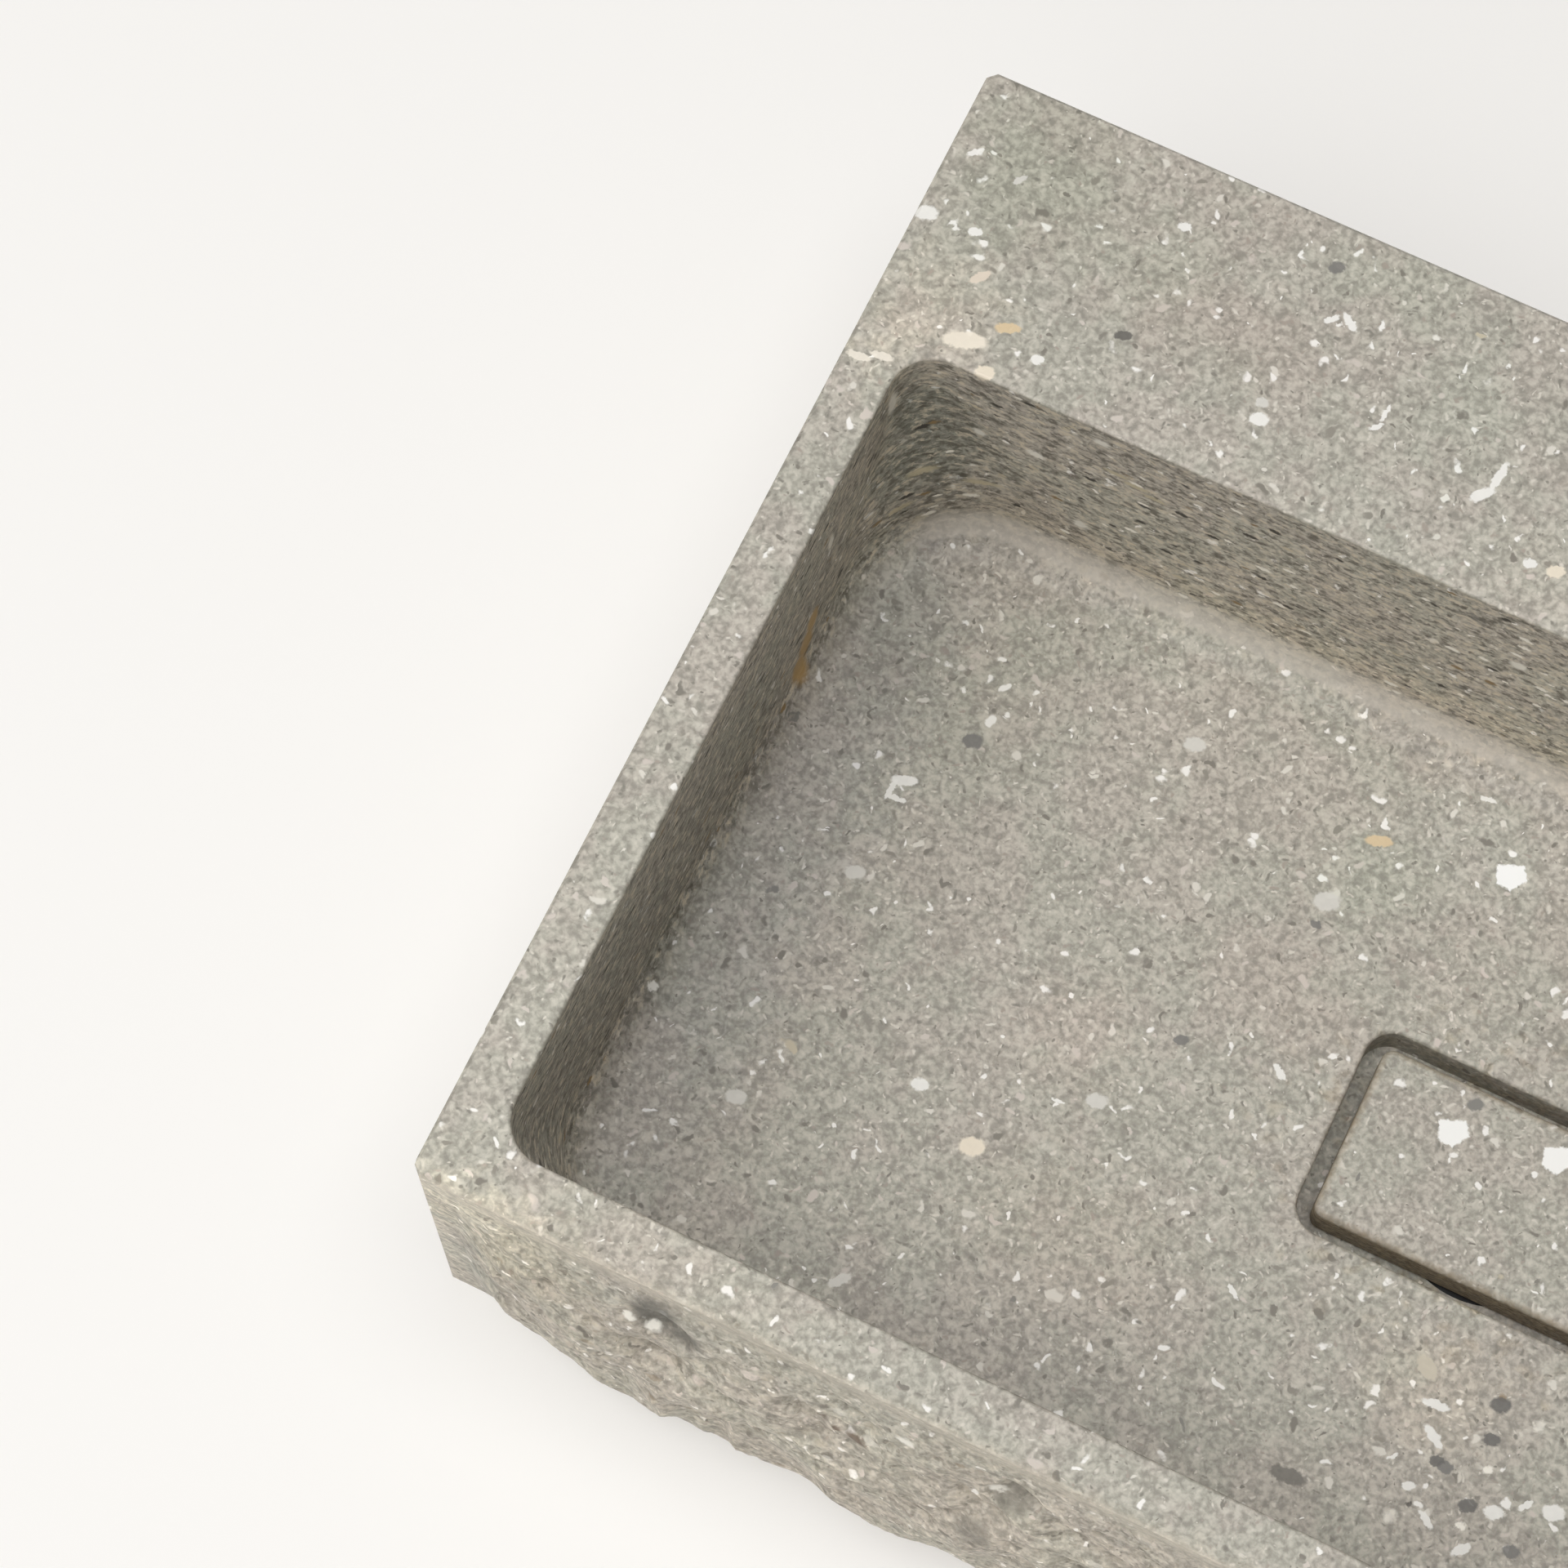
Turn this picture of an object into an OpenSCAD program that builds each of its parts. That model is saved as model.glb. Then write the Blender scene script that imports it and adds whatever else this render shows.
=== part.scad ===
// Trough sink cut from one block of fossil limestone. It has a rock-faced front, a wide back
// ledge, a rectangular basin and a recess in the basin floor for a loose stone drain cover.
// Under the cover a flush strainer waste is clamped through the stone by a ring nut.
//
// Frame: the origin is the middle of the underside of the dressed block, +X points to the
// right, +Y to the back edge and +Z up. Millimetres.

/* [Stone block] */
// Width of the dressed block, left to right
block_w = 740; // [680:10:1000]
// Depth of the dressed block, front face to back face, without the rock face
block_d = 500; // [470:10:600]
// Height of the block
block_h = 180; // [160:5:220]
// Chamfer on the four upright corners
corner_chamfer = 3.5; // [1:0.5:8]
// Bevel along the top front edge
front_bevel = 3.5; // [1:0.5:6]
// Bevel along the other three top edges
edge_bevel = 1.5; // [0.5:0.5:5]

/* [Rock face] */
// How far the rock face stands out in front of the dressed block, before hollows
rock_bulge = 26; // [12:1:32]
// Smooth margin left at each end of the front
rock_side_margin = 14; // [8:1:40]
// Smooth margin left along the top of the front
rock_top_margin = 12; // [8:1:30]
// Width over which the rock face rises from its side margins
rock_side_rise = 62; // [30:2:90]
// Height over which the rock face rises from its top margin
rock_top_rise = 108; // [60:2:120]
// Spacing of the points that carve the rock face
rock_step = 10; // [8:1:16]

/* [Basin] */
// Thickness of the left and right walls at the top
side_wall = 23; // [18:1:60]
// Thickness of the front wall at the top, to the dressed front face
front_wall = 23; // [18:1:50]
// Depth of the ledge behind the basin
back_ledge = 122; // [60:1:150]
// Thickness of the stone under the basin floor
floor_t = 39; // [34:1:60]
// Radius of the basin's upright corners at the rim
rim_corner_r = 18; // [12:1:30]
// Radius of the basin's upright corners just above the floor
floor_corner_r = 56; // [40:1:70]
// Radius of the cove between the walls and the floor
cove_r = 18; // [6:1:30]
// Bevel round the basin's rim
rim_bevel = 1.5; // [0.5:0.5:4]

/* [Drain recess] */
// Distance from the dressed front face to the middle of the drain
drain_from_front = 205; // [190:1:230]
// Length of the recess, left to right
recess_l = 145; // [120:1:200]
// Width of the recess, front to back
recess_w = 90; // [86:1:120]
// Depth of the recess below the basin floor
recess_depth = 21; // [12:0.5:24]
// Plan radius of the recess corners
recess_corner_r = 12; // [8:0.5:20]
// Bevel round the mouth of the recess
recess_bevel = 2; // [0.5:0.5:4]

/* [Drain cover] */
// Gap all round the cover
cover_gap = 7; // [5:0.5:9]
// Thickness of the stone cover
cover_t = 20; // [10:0.5:30]
// Bevel round the top of the cover
cover_bevel = 3; // [0.5:0.5:5]
// Diameter of the pads glued under the cover
pad_d = 10; // [6:0.5:12]
// Thickness of the pads
pad_t = 2; // [1:0.5:4]
// Distance from the cover's edges to the middle of a pad
pad_inset = 9; // [7:0.5:11]

/* [Waste] */
// Diameter of the counterbore that holds the flange
counterbore_d = 79; // [76:1:84]
// Depth of the counterbore below the recess ledge
counterbore_depth = 5; // [4:0.5:6]
// Diameter of the hole through the stone
stone_hole_d = 50; // [49:0.5:56]
// Diameter of the pocket in the underside that hides the ring nut
pocket_d = 72; // [70:1:80]
// Depth of the pocket in the underside
pocket_depth = 6.5; // [6:0.5:7]
// Diameter of the waste's flange
flange_d = 70; // [64:0.5:72]
// Thickness of the waste's flange
flange_t = 2.5; // [2:0.25:3]
// Thickness of the seal under the flange
flange_seal_t = 2; // [1:0.25:2]
// Outer diameter of the threaded barrel
barrel_d = 47.8; // [44:0.1:48.5]
// Bore of the barrel's lower end, which takes the trap's threaded end
outlet_d = 39; // [34:0.5:40]
// Length of that bore, up to its shoulder
outlet_l = 9.5; // [8:0.25:9.5]
// Bore above the shoulder
throat_d = 36.5; // [32:0.5:38]
// Height of the barrel's lower end above the underside
outlet_lift = 0.5; // [0.5:0.25:1]
// Diameter of the strainer plate
strainer_d = 58; // [52:0.5:60]
// Thickness of the strainer plate
strainer_t = 1.5; // [1:0.1:1.8]
// Number of holes in the strainer plate
strainer_holes = 9; // [6:1:9]
// Diameter of the holes in the strainer plate
strainer_hole_d = 7.5; // [5:0.5:8]
// Width of the three arms that carry the strainer's screw
arm_w = 4; // [3:0.5:5]
// Height of the boss between the arms
boss_h = 5; // [4:0.5:6]
// How far the arms stop short of the boss's two ends
arm_drop = 0.5; // [0.25:0.25:1]
// Diameter of the boss
boss_d = 10; // [9:0.5:12]
// Thread diameter of the strainer's screw
screw_d = 5; // [4:1:6]
// Diameter of the screw's head
screw_head_d = 9.5; // [9:0.5:12]
// Height of the screw's head
screw_head_t = 1.6; // [1:0.1:1.8]
// Diameter of the ring nut
nut_d = 66; // [62:0.5:68]
// Thickness of the ring nut
nut_t = 3.5; // [3:0.25:3.75]
// Thickness of the slip washer above the nut
slip_washer_t = 1; // [0.5:0.25:1]
// Width of the four spanner notches in the ring nut
notch_w = 6; // [4:0.5:8]
// Depth of the spanner notches
notch_depth = 4; // [3:0.5:5]

/* [Hidden] */

$fn = 96;
// Radial clearance of a screwed pair, drawn without its thread
thread_clearance = 0.05;
// Radial clearance of a loose pair
loose_clearance = 0.3;
// Overshoot of a cut past the face it opens
cut = 1;
// Depth to which the rock face is rooted in the block
rock_root = 2;

// Heights above the underside
floor_z = floor_t;
ledge_z = floor_z - recess_depth;
counterbore_z = ledge_z - counterbore_depth;
flange_z = counterbore_z + flange_seal_t;
flange_top_z = flange_z + flange_t;
strainer_z = flange_top_z - strainer_t;
arm_top_z = strainer_z - 0.4;
arm_z = arm_top_z - boss_h;
cover_z = ledge_z + pad_t;

// The basin's plan
basin_l = block_w - 2 * side_wall;
basin_w = block_d - front_wall - back_ledge;
basin_y = (front_wall - back_ledge) / 2;
drain_y = drain_from_front - block_d / 2;

// The loose cover
cover_l = recess_l - 2 * cover_gap;
cover_w = recess_w - 2 * cover_gap;
cover_corner_r = recess_corner_r - cover_gap;

// The nut, the slip washer and the lower seal fill the pocket from the barrel's end upwards
slip_washer_z = outlet_lift + nut_t;
lower_seal_z = slip_washer_z + slip_washer_t;
lower_seal_t = pocket_depth - lower_seal_z;

// The screw goes through the strainer plate and the boss
screw_l = flange_top_z - arm_z;
strainer_pitch_r = (throat_d + boss_d) / 4 + 1;

// The rock face: one run of hollows, each [from the left, above the underside,
// stand-out at its middle, half width, half height]. The run repeats along the front.
hollow_run = 352;
hollow_steepness = 7;
hollows = [
    [40, 84, 10.5, 30, 60], [66, 62, 16, 26, 60], [90, 66, 15.5, 19, 60], [103, 131, 3, 17, 19],
    [121, 60, 17.5, 15, 60], [132, 56, 15.5, 9, 60], [158, 84, 16.5, 30, 60],
    [178, 134, 10, 30, 22], [199, 84, 20, 30, 60], [226, 62, 22, 26, 60], [240, 136, 5.5, 15, 16],
    [262, 92, 18, 28, 56], [302, 72, 20, 36, 66], [322, 128, 10.5, 30, 26], [338, 96, 17.5, 34, 58]
];
rock_w = block_w - 2 * rock_side_margin;
rock_h = block_h - rock_top_margin;
rock_columns = floor(rock_w / rock_step);
rock_rows = floor(rock_h / rock_step);

// The basin's hollow: rings from the rim down the walls and round the cove
wall_rings = 10;
cove_rings = 7;
corner_steps = 9;

stone = "#9c9a92";
cover_stone = "#a19f97";
chrome = "#c9cccf";
brass = "#b89a5a";
rubber = "#1d1d1f";
nylon = "#e6e4dc";

// A curve that rises from 0 to 1 and is level at both ends
function eased(t) = let (c = min(max(t, 0), 1)) c * c * (3 - 2 * c);

// A curve that rises steeply from 0 and is level at 1
function rounded_rise(t) = sin(90 * min(max(t, 0), 1));

// The rock face before hollows, at x from the left end and z above the underside
function rock_swell(x, z) = rock_bulge
    * rounded_rise((x - rock_side_margin) / rock_side_rise)
    * rounded_rise((block_w - rock_side_margin - x) / rock_side_rise)
    * rounded_rise((rock_h - z) / rock_top_rise)
    * eased((z + 22) / 95);

// One hollow, which dishes outwards from its middle
function hollow_at(h, x, z) = h[2]
    + hollow_steepness * (pow((x - h[0]) / h[3], 2) + pow((z - h[1]) / h[4], 2));

// The lowest of the hollows that lie round x and z, in all repeats of the run
function hollows_at(x, z) = min([
    for (k = [0:ceil(block_w / hollow_run)])
        for (h = hollows)
            hollow_at(h, x - k * hollow_run, z + 8 * sin(140 * k))
]);

function ripple(x, z) = 1.0 * sin(3.4 * x + 2.5 * z) + 0.8 * sin(6.4 * x - 4.1 * z + 57);

// How far the split surface stands out of the dressed front
function rock_out(x, z) = let (swell = rock_swell(x, z))
    max(min(swell, hollows_at(x, z)) + ripple(x, z) * min(swell / 12, 1), 0);

// The split surface over a grid, closed by a flat back inside the block
module rock_face() {
    columns = rock_columns;
    rows = rock_rows;
    row_points = columns + 1;
    layer_points = row_points * (rows + 1);
    front = [
        for (j = [0:rows])
            for (i = [0:columns])
                let (x = rock_side_margin + rock_w * i / columns, z = rock_h * j / rows)
                    [x - block_w / 2, -block_d / 2 - rock_out(x, z), z]
    ];
    back = [for (p = front) [p[0], -block_d / 2 + rock_root, p[2]]];
    front_faces = [
        for (j = [0:rows - 1])
            for (i = [0:columns - 1])
                let (a = j * row_points + i, b = a + 1, c = b + row_points, d = a + row_points)
                    for (t = [[a, d, c], [a, c, b]]) t
    ];
    outline = concat(
        [for (i = [0:columns - 1]) i],
        [for (j = [0:rows - 1]) j * row_points + columns],
        [for (i = [columns:-1:1]) rows * row_points + i],
        [for (j = [rows:-1:1]) j * row_points]
    );
    n = len(outline);
    side_faces = [
        for (k = [0:n - 1])
            let (a = outline[k], b = outline[(k + 1) % n])
                for (t = [[a, b, b + layer_points], [a, b + layer_points, a + layer_points]]) t
    ];
    back_face = [[for (k = [n - 1:-1:0]) outline[k] + layer_points]];
    polyhedron(points = concat(front, back), faces = concat(front_faces, side_faces, back_face));
}

// A ring of points round a rectangle with rounded corners
function rounded_ring(half_l, half_w, r, z) = [
    for (q = [0:3])
        let (sx = q == 0 || q == 3 ? 1 : -1, sy = q < 2 ? 1 : -1)
            for (k = [0:corner_steps])
                let (a = 90 * (q + k / corner_steps))
                    [sx * (half_l - r) + r * cos(a), sy * (half_w - r) + r * sin(a), z]
];

// The space inside the basin: upright walls whose corners widen downwards, over a cove
module basin_space() {
    wall_top = block_h - rim_bevel;
    wall_foot = floor_z + cove_r;
    mouth = rounded_ring(
        basin_l / 2 + rim_bevel + cut, basin_w / 2 + rim_bevel + cut, rim_corner_r + rim_bevel + cut,
        block_h + cut
    );
    walls = [
        for (k = [0:wall_rings])
            let (t = k / wall_rings)
                rounded_ring(
                    basin_l / 2, basin_w / 2,
                    rim_corner_r + (floor_corner_r - rim_corner_r) * eased(t * 1.15 - 0.15),
                    wall_top + (wall_foot - wall_top) * t
                )
    ];
    cove = [
        for (k = [1:cove_rings])
            let (a = 90 * k / cove_rings, inset = cove_r * (1 - cos(a)))
                rounded_ring(
                    basin_l / 2 - inset, basin_w / 2 - inset, floor_corner_r - inset,
                    floor_z + cove_r * (1 - sin(a))
                )
    ];
    rings = concat([mouth], walls, cove);
    n = len(mouth);
    last = len(rings) - 1;
    side_faces = [
        for (j = [0:last - 1])
            for (i = [0:n - 1])
                let (a = j * n + i, b = j * n + (i + 1) % n)
                    for (t = [[a, b, b + n], [a, b + n, a + n]]) t
    ];
    top_face = [[for (i = [n - 1:-1:0]) i]];
    floor_face = [[for (i = [0:n - 1]) last * n + i]];
    polyhedron(
        points = [for (ring = rings) for (p = ring) p],
        faces = concat(top_face, side_faces, floor_face)
    );
}

// A slab with rounded plan corners, which narrows by top_in over its top top_h
module rounded_slab(l, w, h, r, top_h, top_in) {
    along_x = [
        [-w / 2, 0], [w / 2, 0], [w / 2, h - top_h], [w / 2 - top_in, h],
        [-w / 2 + top_in, h], [-w / 2, h - top_h]
    ];
    along_y = [
        [-l / 2, 0], [l / 2, 0], [l / 2, h - top_h], [l / 2 - top_in, h],
        [-l / 2 + top_in, h], [-l / 2, h - top_h]
    ];
    rotate([90, 0, 90])
        linear_extrude(height = l - 2 * r, center = true) polygon(along_x);
    rotate([90, 0, 0])
        linear_extrude(height = w - 2 * r, center = true) polygon(along_y);
    for (sx = [-1, 1], sy = [-1, 1])
        translate([sx * (l / 2 - r), sy * (w / 2 - r), 0]) {
            cylinder(r = r, h = h - top_h);
            translate([0, 0, h - top_h])
                cylinder(r1 = r, r2 = r - top_in, h = top_h);
        }
}

// The block with its upright corners chamfered
module dressed_block() {
    x = block_w / 2;
    y = block_d / 2;
    c = corner_chamfer;
    linear_extrude(height = block_h)
        polygon([
            [-x + c, -y], [x - c, -y], [x, -y + c], [x, y - c],
            [x - c, y], [-x + c, y], [-x, y - c], [-x, -y + c]
        ]);
}

// A square bar on its edge, which cuts a bevel of the given size
module bevel_bar(length, size) {
    rotate([45, 0, 0])
        cube([length, size * sqrt(2), size * sqrt(2)], center = true);
}

module top_edge_bevels() {
    translate([0, -block_d / 2, block_h])
        bevel_bar(block_w + 2 * cut, front_bevel);
    translate([0, block_d / 2, block_h])
        bevel_bar(block_w + 2 * cut, edge_bevel);
    for (side = [-1, 1])
        translate([side * block_w / 2, 0, block_h])
            rotate([0, 0, 90])
                bevel_bar(block_d + 2 * cut, edge_bevel);
}

// The recess in the floor, with a bevelled mouth
module recess_space() {
    translate([0, drain_y, ledge_z]) {
        rounded_slab(recess_l, recess_w, recess_depth + cut, recess_corner_r, cut, 0);
        translate([0, 0, recess_depth - recess_bevel])
            rounded_slab(
                recess_l, recess_w, recess_bevel + cut, recess_corner_r,
                recess_bevel + cut, -recess_bevel - cut
            );
    }
}

// The counterbore, the hole and the pocket for the waste
module waste_space() {
    translate([0, drain_y, counterbore_z])
        cylinder(d = counterbore_d, h = counterbore_depth + cut);
    translate([0, drain_y, -cut])
        cylinder(d = stone_hole_d, h = ledge_z);
    translate([0, drain_y, -cut])
        cylinder(d = pocket_d, h = pocket_depth + cut);
}

module stone_basin() {
    color(stone)
        difference() {
            union() {
                dressed_block();
                rock_face();
            }
            top_edge_bevels();
            translate([0, basin_y, 0])
                basin_space();
            recess_space();
            waste_space();
        }
}

// The loose stone plate that lies in the recess, a little proud of the floor
module drain_cover() {
    color(cover_stone)
        translate([0, drain_y, cover_z])
            rounded_slab(cover_l, cover_w, cover_t, cover_corner_r, cover_bevel, cover_bevel);
}

// Four clear pads that hold the cover off the ledge so that water runs under it
module cover_pads() {
    color(nylon)
        for (sx = [-1, 1], sy = [-1, 1])
            translate([
                sx * (cover_l / 2 - pad_inset), drain_y + sy * (cover_w / 2 - pad_inset), ledge_z
            ])
                cylinder(d = pad_d, h = pad_t);
}

// Flange and threaded barrel in one piece, with three arms for the strainer's screw
module waste_body() {
    outlet_r = outlet_d / 2;
    throat_r = throat_d / 2;
    shoulder_z = outlet_lift + outlet_l;
    rebate_r = strainer_d / 2 + loose_clearance;
    color(chrome)
        translate([0, drain_y, 0])
            difference() {
                union() {
                    rotate_extrude()
                        polygon([
                            [outlet_r, outlet_lift], [barrel_d / 2, outlet_lift],
                            [barrel_d / 2, flange_z], [flange_d / 2, flange_z],
                            [flange_d / 2, flange_top_z], [rebate_r, flange_top_z],
                            [rebate_r, strainer_z], [throat_r, strainer_z],
                            [throat_r, shoulder_z], [outlet_r, shoulder_z]
                        ]);
                    translate([0, 0, arm_z])
                        cylinder(d = boss_d, h = boss_h);
                    for (a = [30:120:270])
                        rotate([0, 0, a])
                            translate([boss_d / 2 - 1, -arm_w / 2, arm_z + arm_drop])
                                cube([throat_r - boss_d / 2 + 2, arm_w, boss_h - 2 * arm_drop]);
                }
                translate([0, 0, arm_z - cut])
                    cylinder(d = screw_d + 2 * thread_clearance, h = boss_h + 2 * cut);
            }
}

// Rubber ring between the flange and the floor of the counterbore
module flange_seal() {
    color(rubber)
        translate([0, drain_y, counterbore_z])
            difference() {
                cylinder(d = counterbore_d - 2 * loose_clearance, h = flange_seal_t);
                translate([0, 0, -cut])
                    cylinder(d = barrel_d + 2 * loose_clearance, h = flange_seal_t + 2 * cut);
            }
}

module strainer_plate() {
    color(chrome)
        translate([0, drain_y, strainer_z])
            difference() {
                cylinder(d = strainer_d, h = strainer_t);
                translate([0, 0, -cut])
                    cylinder(d = screw_d + 2 * loose_clearance, h = strainer_t + 2 * cut);
                for (k = [0:strainer_holes - 1])
                    rotate([0, 0, 360 * (k + 0.5) / strainer_holes])
                        translate([strainer_pitch_r, 0, -cut])
                            cylinder(d = strainer_hole_d, h = strainer_t + 2 * cut, $fn = 32);
            }
}

// Slotted screw that holds the strainer plate down on the flange
module strainer_screw() {
    color(chrome)
        translate([0, drain_y, flange_top_z])
            difference() {
                union() {
                    cylinder(d = screw_head_d, h = screw_head_t);
                    translate([0, 0, -screw_l])
                        cylinder(d = screw_d, h = screw_l + cut / 2);
                }
                translate([-screw_head_d / 2 - cut, -0.6, screw_head_t / 2])
                    cube([screw_head_d + 2 * cut, 1.2, screw_head_t]);
            }
}

// A flat ring round the barrel, inside the pocket
module pocket_ring(z, t, outer_d, clearance) {
    translate([0, drain_y, z])
        difference() {
            cylinder(d = outer_d, h = t);
            translate([0, 0, -cut])
                cylinder(d = barrel_d + 2 * clearance, h = t + 2 * cut);
        }
}

// Rubber ring under the stone
module lower_seal() {
    color(rubber)
        pocket_ring(lower_seal_z, lower_seal_t, nut_d, loose_clearance);
}

// Nylon ring that lets the nut turn without dragging the rubber
module slip_washer() {
    color(nylon)
        pocket_ring(slip_washer_z, slip_washer_t, nut_d, loose_clearance);
}

// Brass nut with four notches for a pin spanner
module ring_nut() {
    color(brass)
        difference() {
            pocket_ring(outlet_lift, nut_t, nut_d, thread_clearance);
            for (a = [0:90:270])
                translate([0, drain_y, outlet_lift - cut])
                    rotate([0, 0, a + 45])
                        translate([nut_d / 2 - notch_depth, -notch_w / 2, 0])
                            cube([notch_depth + cut, notch_w, nut_t + 2 * cut]);
        }
}

stone_basin();
drain_cover();
cover_pads();
waste_body();
flange_seal();
strainer_plate();
strainer_screw();
lower_seal();
slip_washer();
ring_nut();
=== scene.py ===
from math import atan2, ceil, cos, exp, hypot, log, pi, radians, sin
import bpy
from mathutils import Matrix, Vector, noise


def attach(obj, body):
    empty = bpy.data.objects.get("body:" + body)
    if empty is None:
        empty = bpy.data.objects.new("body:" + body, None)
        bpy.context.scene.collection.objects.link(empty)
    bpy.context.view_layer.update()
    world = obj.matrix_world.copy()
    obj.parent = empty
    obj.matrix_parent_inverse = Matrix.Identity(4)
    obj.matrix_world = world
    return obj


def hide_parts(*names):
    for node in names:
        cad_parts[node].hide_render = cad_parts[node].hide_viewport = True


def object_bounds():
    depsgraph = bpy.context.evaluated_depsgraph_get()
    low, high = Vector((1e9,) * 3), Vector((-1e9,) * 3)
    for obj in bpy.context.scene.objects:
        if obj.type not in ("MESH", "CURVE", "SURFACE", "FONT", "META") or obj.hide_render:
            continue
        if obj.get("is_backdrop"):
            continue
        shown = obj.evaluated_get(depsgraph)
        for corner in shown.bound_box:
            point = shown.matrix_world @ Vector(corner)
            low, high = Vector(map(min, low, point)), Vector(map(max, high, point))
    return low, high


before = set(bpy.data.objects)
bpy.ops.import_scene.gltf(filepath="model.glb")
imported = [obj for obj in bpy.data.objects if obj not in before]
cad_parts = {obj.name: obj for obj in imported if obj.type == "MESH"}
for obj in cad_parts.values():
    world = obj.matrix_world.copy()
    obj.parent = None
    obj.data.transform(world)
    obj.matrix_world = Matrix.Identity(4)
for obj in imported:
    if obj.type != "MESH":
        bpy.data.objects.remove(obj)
cad_low, cad_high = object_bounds()


# ---------------------------------------------------------------------------------------------
# The stone basin: one block of fossil limestone. Its faces are sawn and honed, the trough is
# milled out of it, and its front is split by hand, which leaves a rock face between smooth
# margins. It is one body of stone, so its pattern runs through it from face to face.

mm = 0.001
block_w, block_d, block_h = 740 * mm, 500 * mm, 180 * mm
corner_chamfer, front_bevel, edge_bevel = 3.5 * mm, 3.5 * mm, 1.5 * mm
basin_l, basin_w, basin_y = 694 * mm, 355 * mm, -49.5 * mm
floor_z, cove_r, rim_bevel = 39 * mm, 18 * mm, 1.5 * mm
rim_corner_r, floor_corner_r = 18 * mm, 56 * mm
drain_y, ledge_z = -45 * mm, 18 * mm
recess_l, recess_w, recess_corner_r, recess_bevel = 145 * mm, 90 * mm, 12 * mm, 2 * mm
counterbore_r, counterbore_z = 39.5 * mm, 13 * mm
stone_hole_r, pocket_r, pocket_top_z = 25 * mm, 36 * mm, 6.5 * mm


def pick(piece):
    """Makes this piece the only one selected."""
    bpy.ops.object.select_all(action="DESELECT")
    piece.select_set(True)
    bpy.context.view_layer.objects.active = piece


def primitive(operator, scale=(1, 1, 1), **settings):
    """A primitive to start from, with its place and size in its mesh."""
    bpy.ops.object.select_all(action="DESELECT")
    operator(**settings)
    bpy.context.object.scale = scale
    bpy.ops.object.transform_apply()
    return bpy.context.object


def edit(piece):
    """Opens a piece in edit mode with all of it selected."""
    pick(piece)
    bpy.ops.object.mode_set(mode="EDIT")
    bpy.ops.mesh.select_all(action="SELECT")


def face_outwards():
    """Points all faces of the open piece outwards and leaves edit mode."""
    bpy.ops.mesh.select_all(action="SELECT")
    bpy.ops.mesh.normals_make_consistent(inside=False)
    bpy.ops.object.mode_set(mode="OBJECT")


def joined(pieces, name):
    """Makes one piece of several."""
    pick(pieces[0])
    for piece in pieces:
        piece.select_set(True)
    bpy.ops.object.join()
    pieces[0].name = name
    return pieces[0]


def lofted(name, rings, corner_steps):
    """A closed solid through rectangular rings, lowest or highest first. Each ring is
    (half length, half width, corner radius, centre y, z)."""
    outlines = []
    for half_l, half_w, radius, centre_y, z in rings:
        outlines.append(primitive(bpy.ops.mesh.primitive_plane_add, (half_l, half_w, 1),
                                  size=2, location=(0, centre_y, z)))
        edit(outlines[-1])
        bpy.ops.mesh.bevel(offset=radius, segments=corner_steps, affect="VERTICES")
        bpy.ops.mesh.delete(type="ONLY_FACE")
        bpy.ops.object.mode_set(mode="OBJECT")
    solid = joined(outlines, name)
    edit(solid)
    bpy.ops.mesh.bridge_edge_loops(type="SINGLE")
    bpy.ops.mesh.select_all(action="SELECT")
    bpy.ops.mesh.fill_holes(sides=0)
    face_outwards()
    return solid


def turned(name, profile, steps=96, ring=False):
    """A solid turned about the drain's axis from a profile of (radius, z). A ring's profile
    goes once round its section, and any other solid is closed by a flat face at each end."""
    first_r, first_z = profile[0]
    solid = primitive(bpy.ops.mesh.primitive_circle_add, vertices=steps, radius=first_r,
                      location=(0, drain_y, first_z))
    solid.name = name
    edit(solid)
    if not ring:
        bpy.ops.mesh.edge_face_add()
    extrude = bpy.ops.mesh.extrude_edges_move if ring else bpy.ops.mesh.extrude_region_move
    for (r0, z0), (r1, z1) in zip(profile, profile[1:] + profile[:1] * ring):
        extrude()
        if r1 != r0:
            bpy.ops.transform.resize(value=(r1 / r0, r1 / r0, 1), center_override=(0, drain_y, z0))
        if z1 != z0:
            bpy.ops.transform.translate(value=(0, 0, z1 - z0))
    bpy.ops.mesh.select_all(action="SELECT")
    bpy.ops.mesh.remove_doubles(threshold=0.001 * mm)
    face_outwards()
    return solid


def modified(piece, kind, **settings):
    """Applies a modifier with these settings to the piece."""
    pick(piece)
    bpy.ops.object.modifier_add(type=kind)
    for name, value in settings.items():
        setattr(piece.modifiers[-1], name, value)
    bpy.ops.object.modifier_apply(modifier=piece.modifiers[-1].name)


def combined(piece, other, operation):
    """Cuts the other solid out of the piece, or joins it on, and removes the other."""
    modified(piece, "BOOLEAN", operation=operation, solver="EXACT", object=other)
    bpy.data.objects.remove(other)


def rounded(radius, z, steps):
    """Points (distance out, z) of a quarter round, from the level z. A negative radius makes
    it a cove that rises from there."""
    turns = [radians(90 * k / steps) for k in range(steps + 1)]
    return [(radius * (1 - sin(t)), z - radius * (1 - cos(t))) for t in turns]


def stepped(half_l, half_w, corner_r, centre_y, points):
    """Rings for a lofted solid, one at each (distance out, z) from a rounded rectangle."""
    return [(half_l + out, half_w + out, corner_r + out, centre_y, z) for out, z in points]


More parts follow.
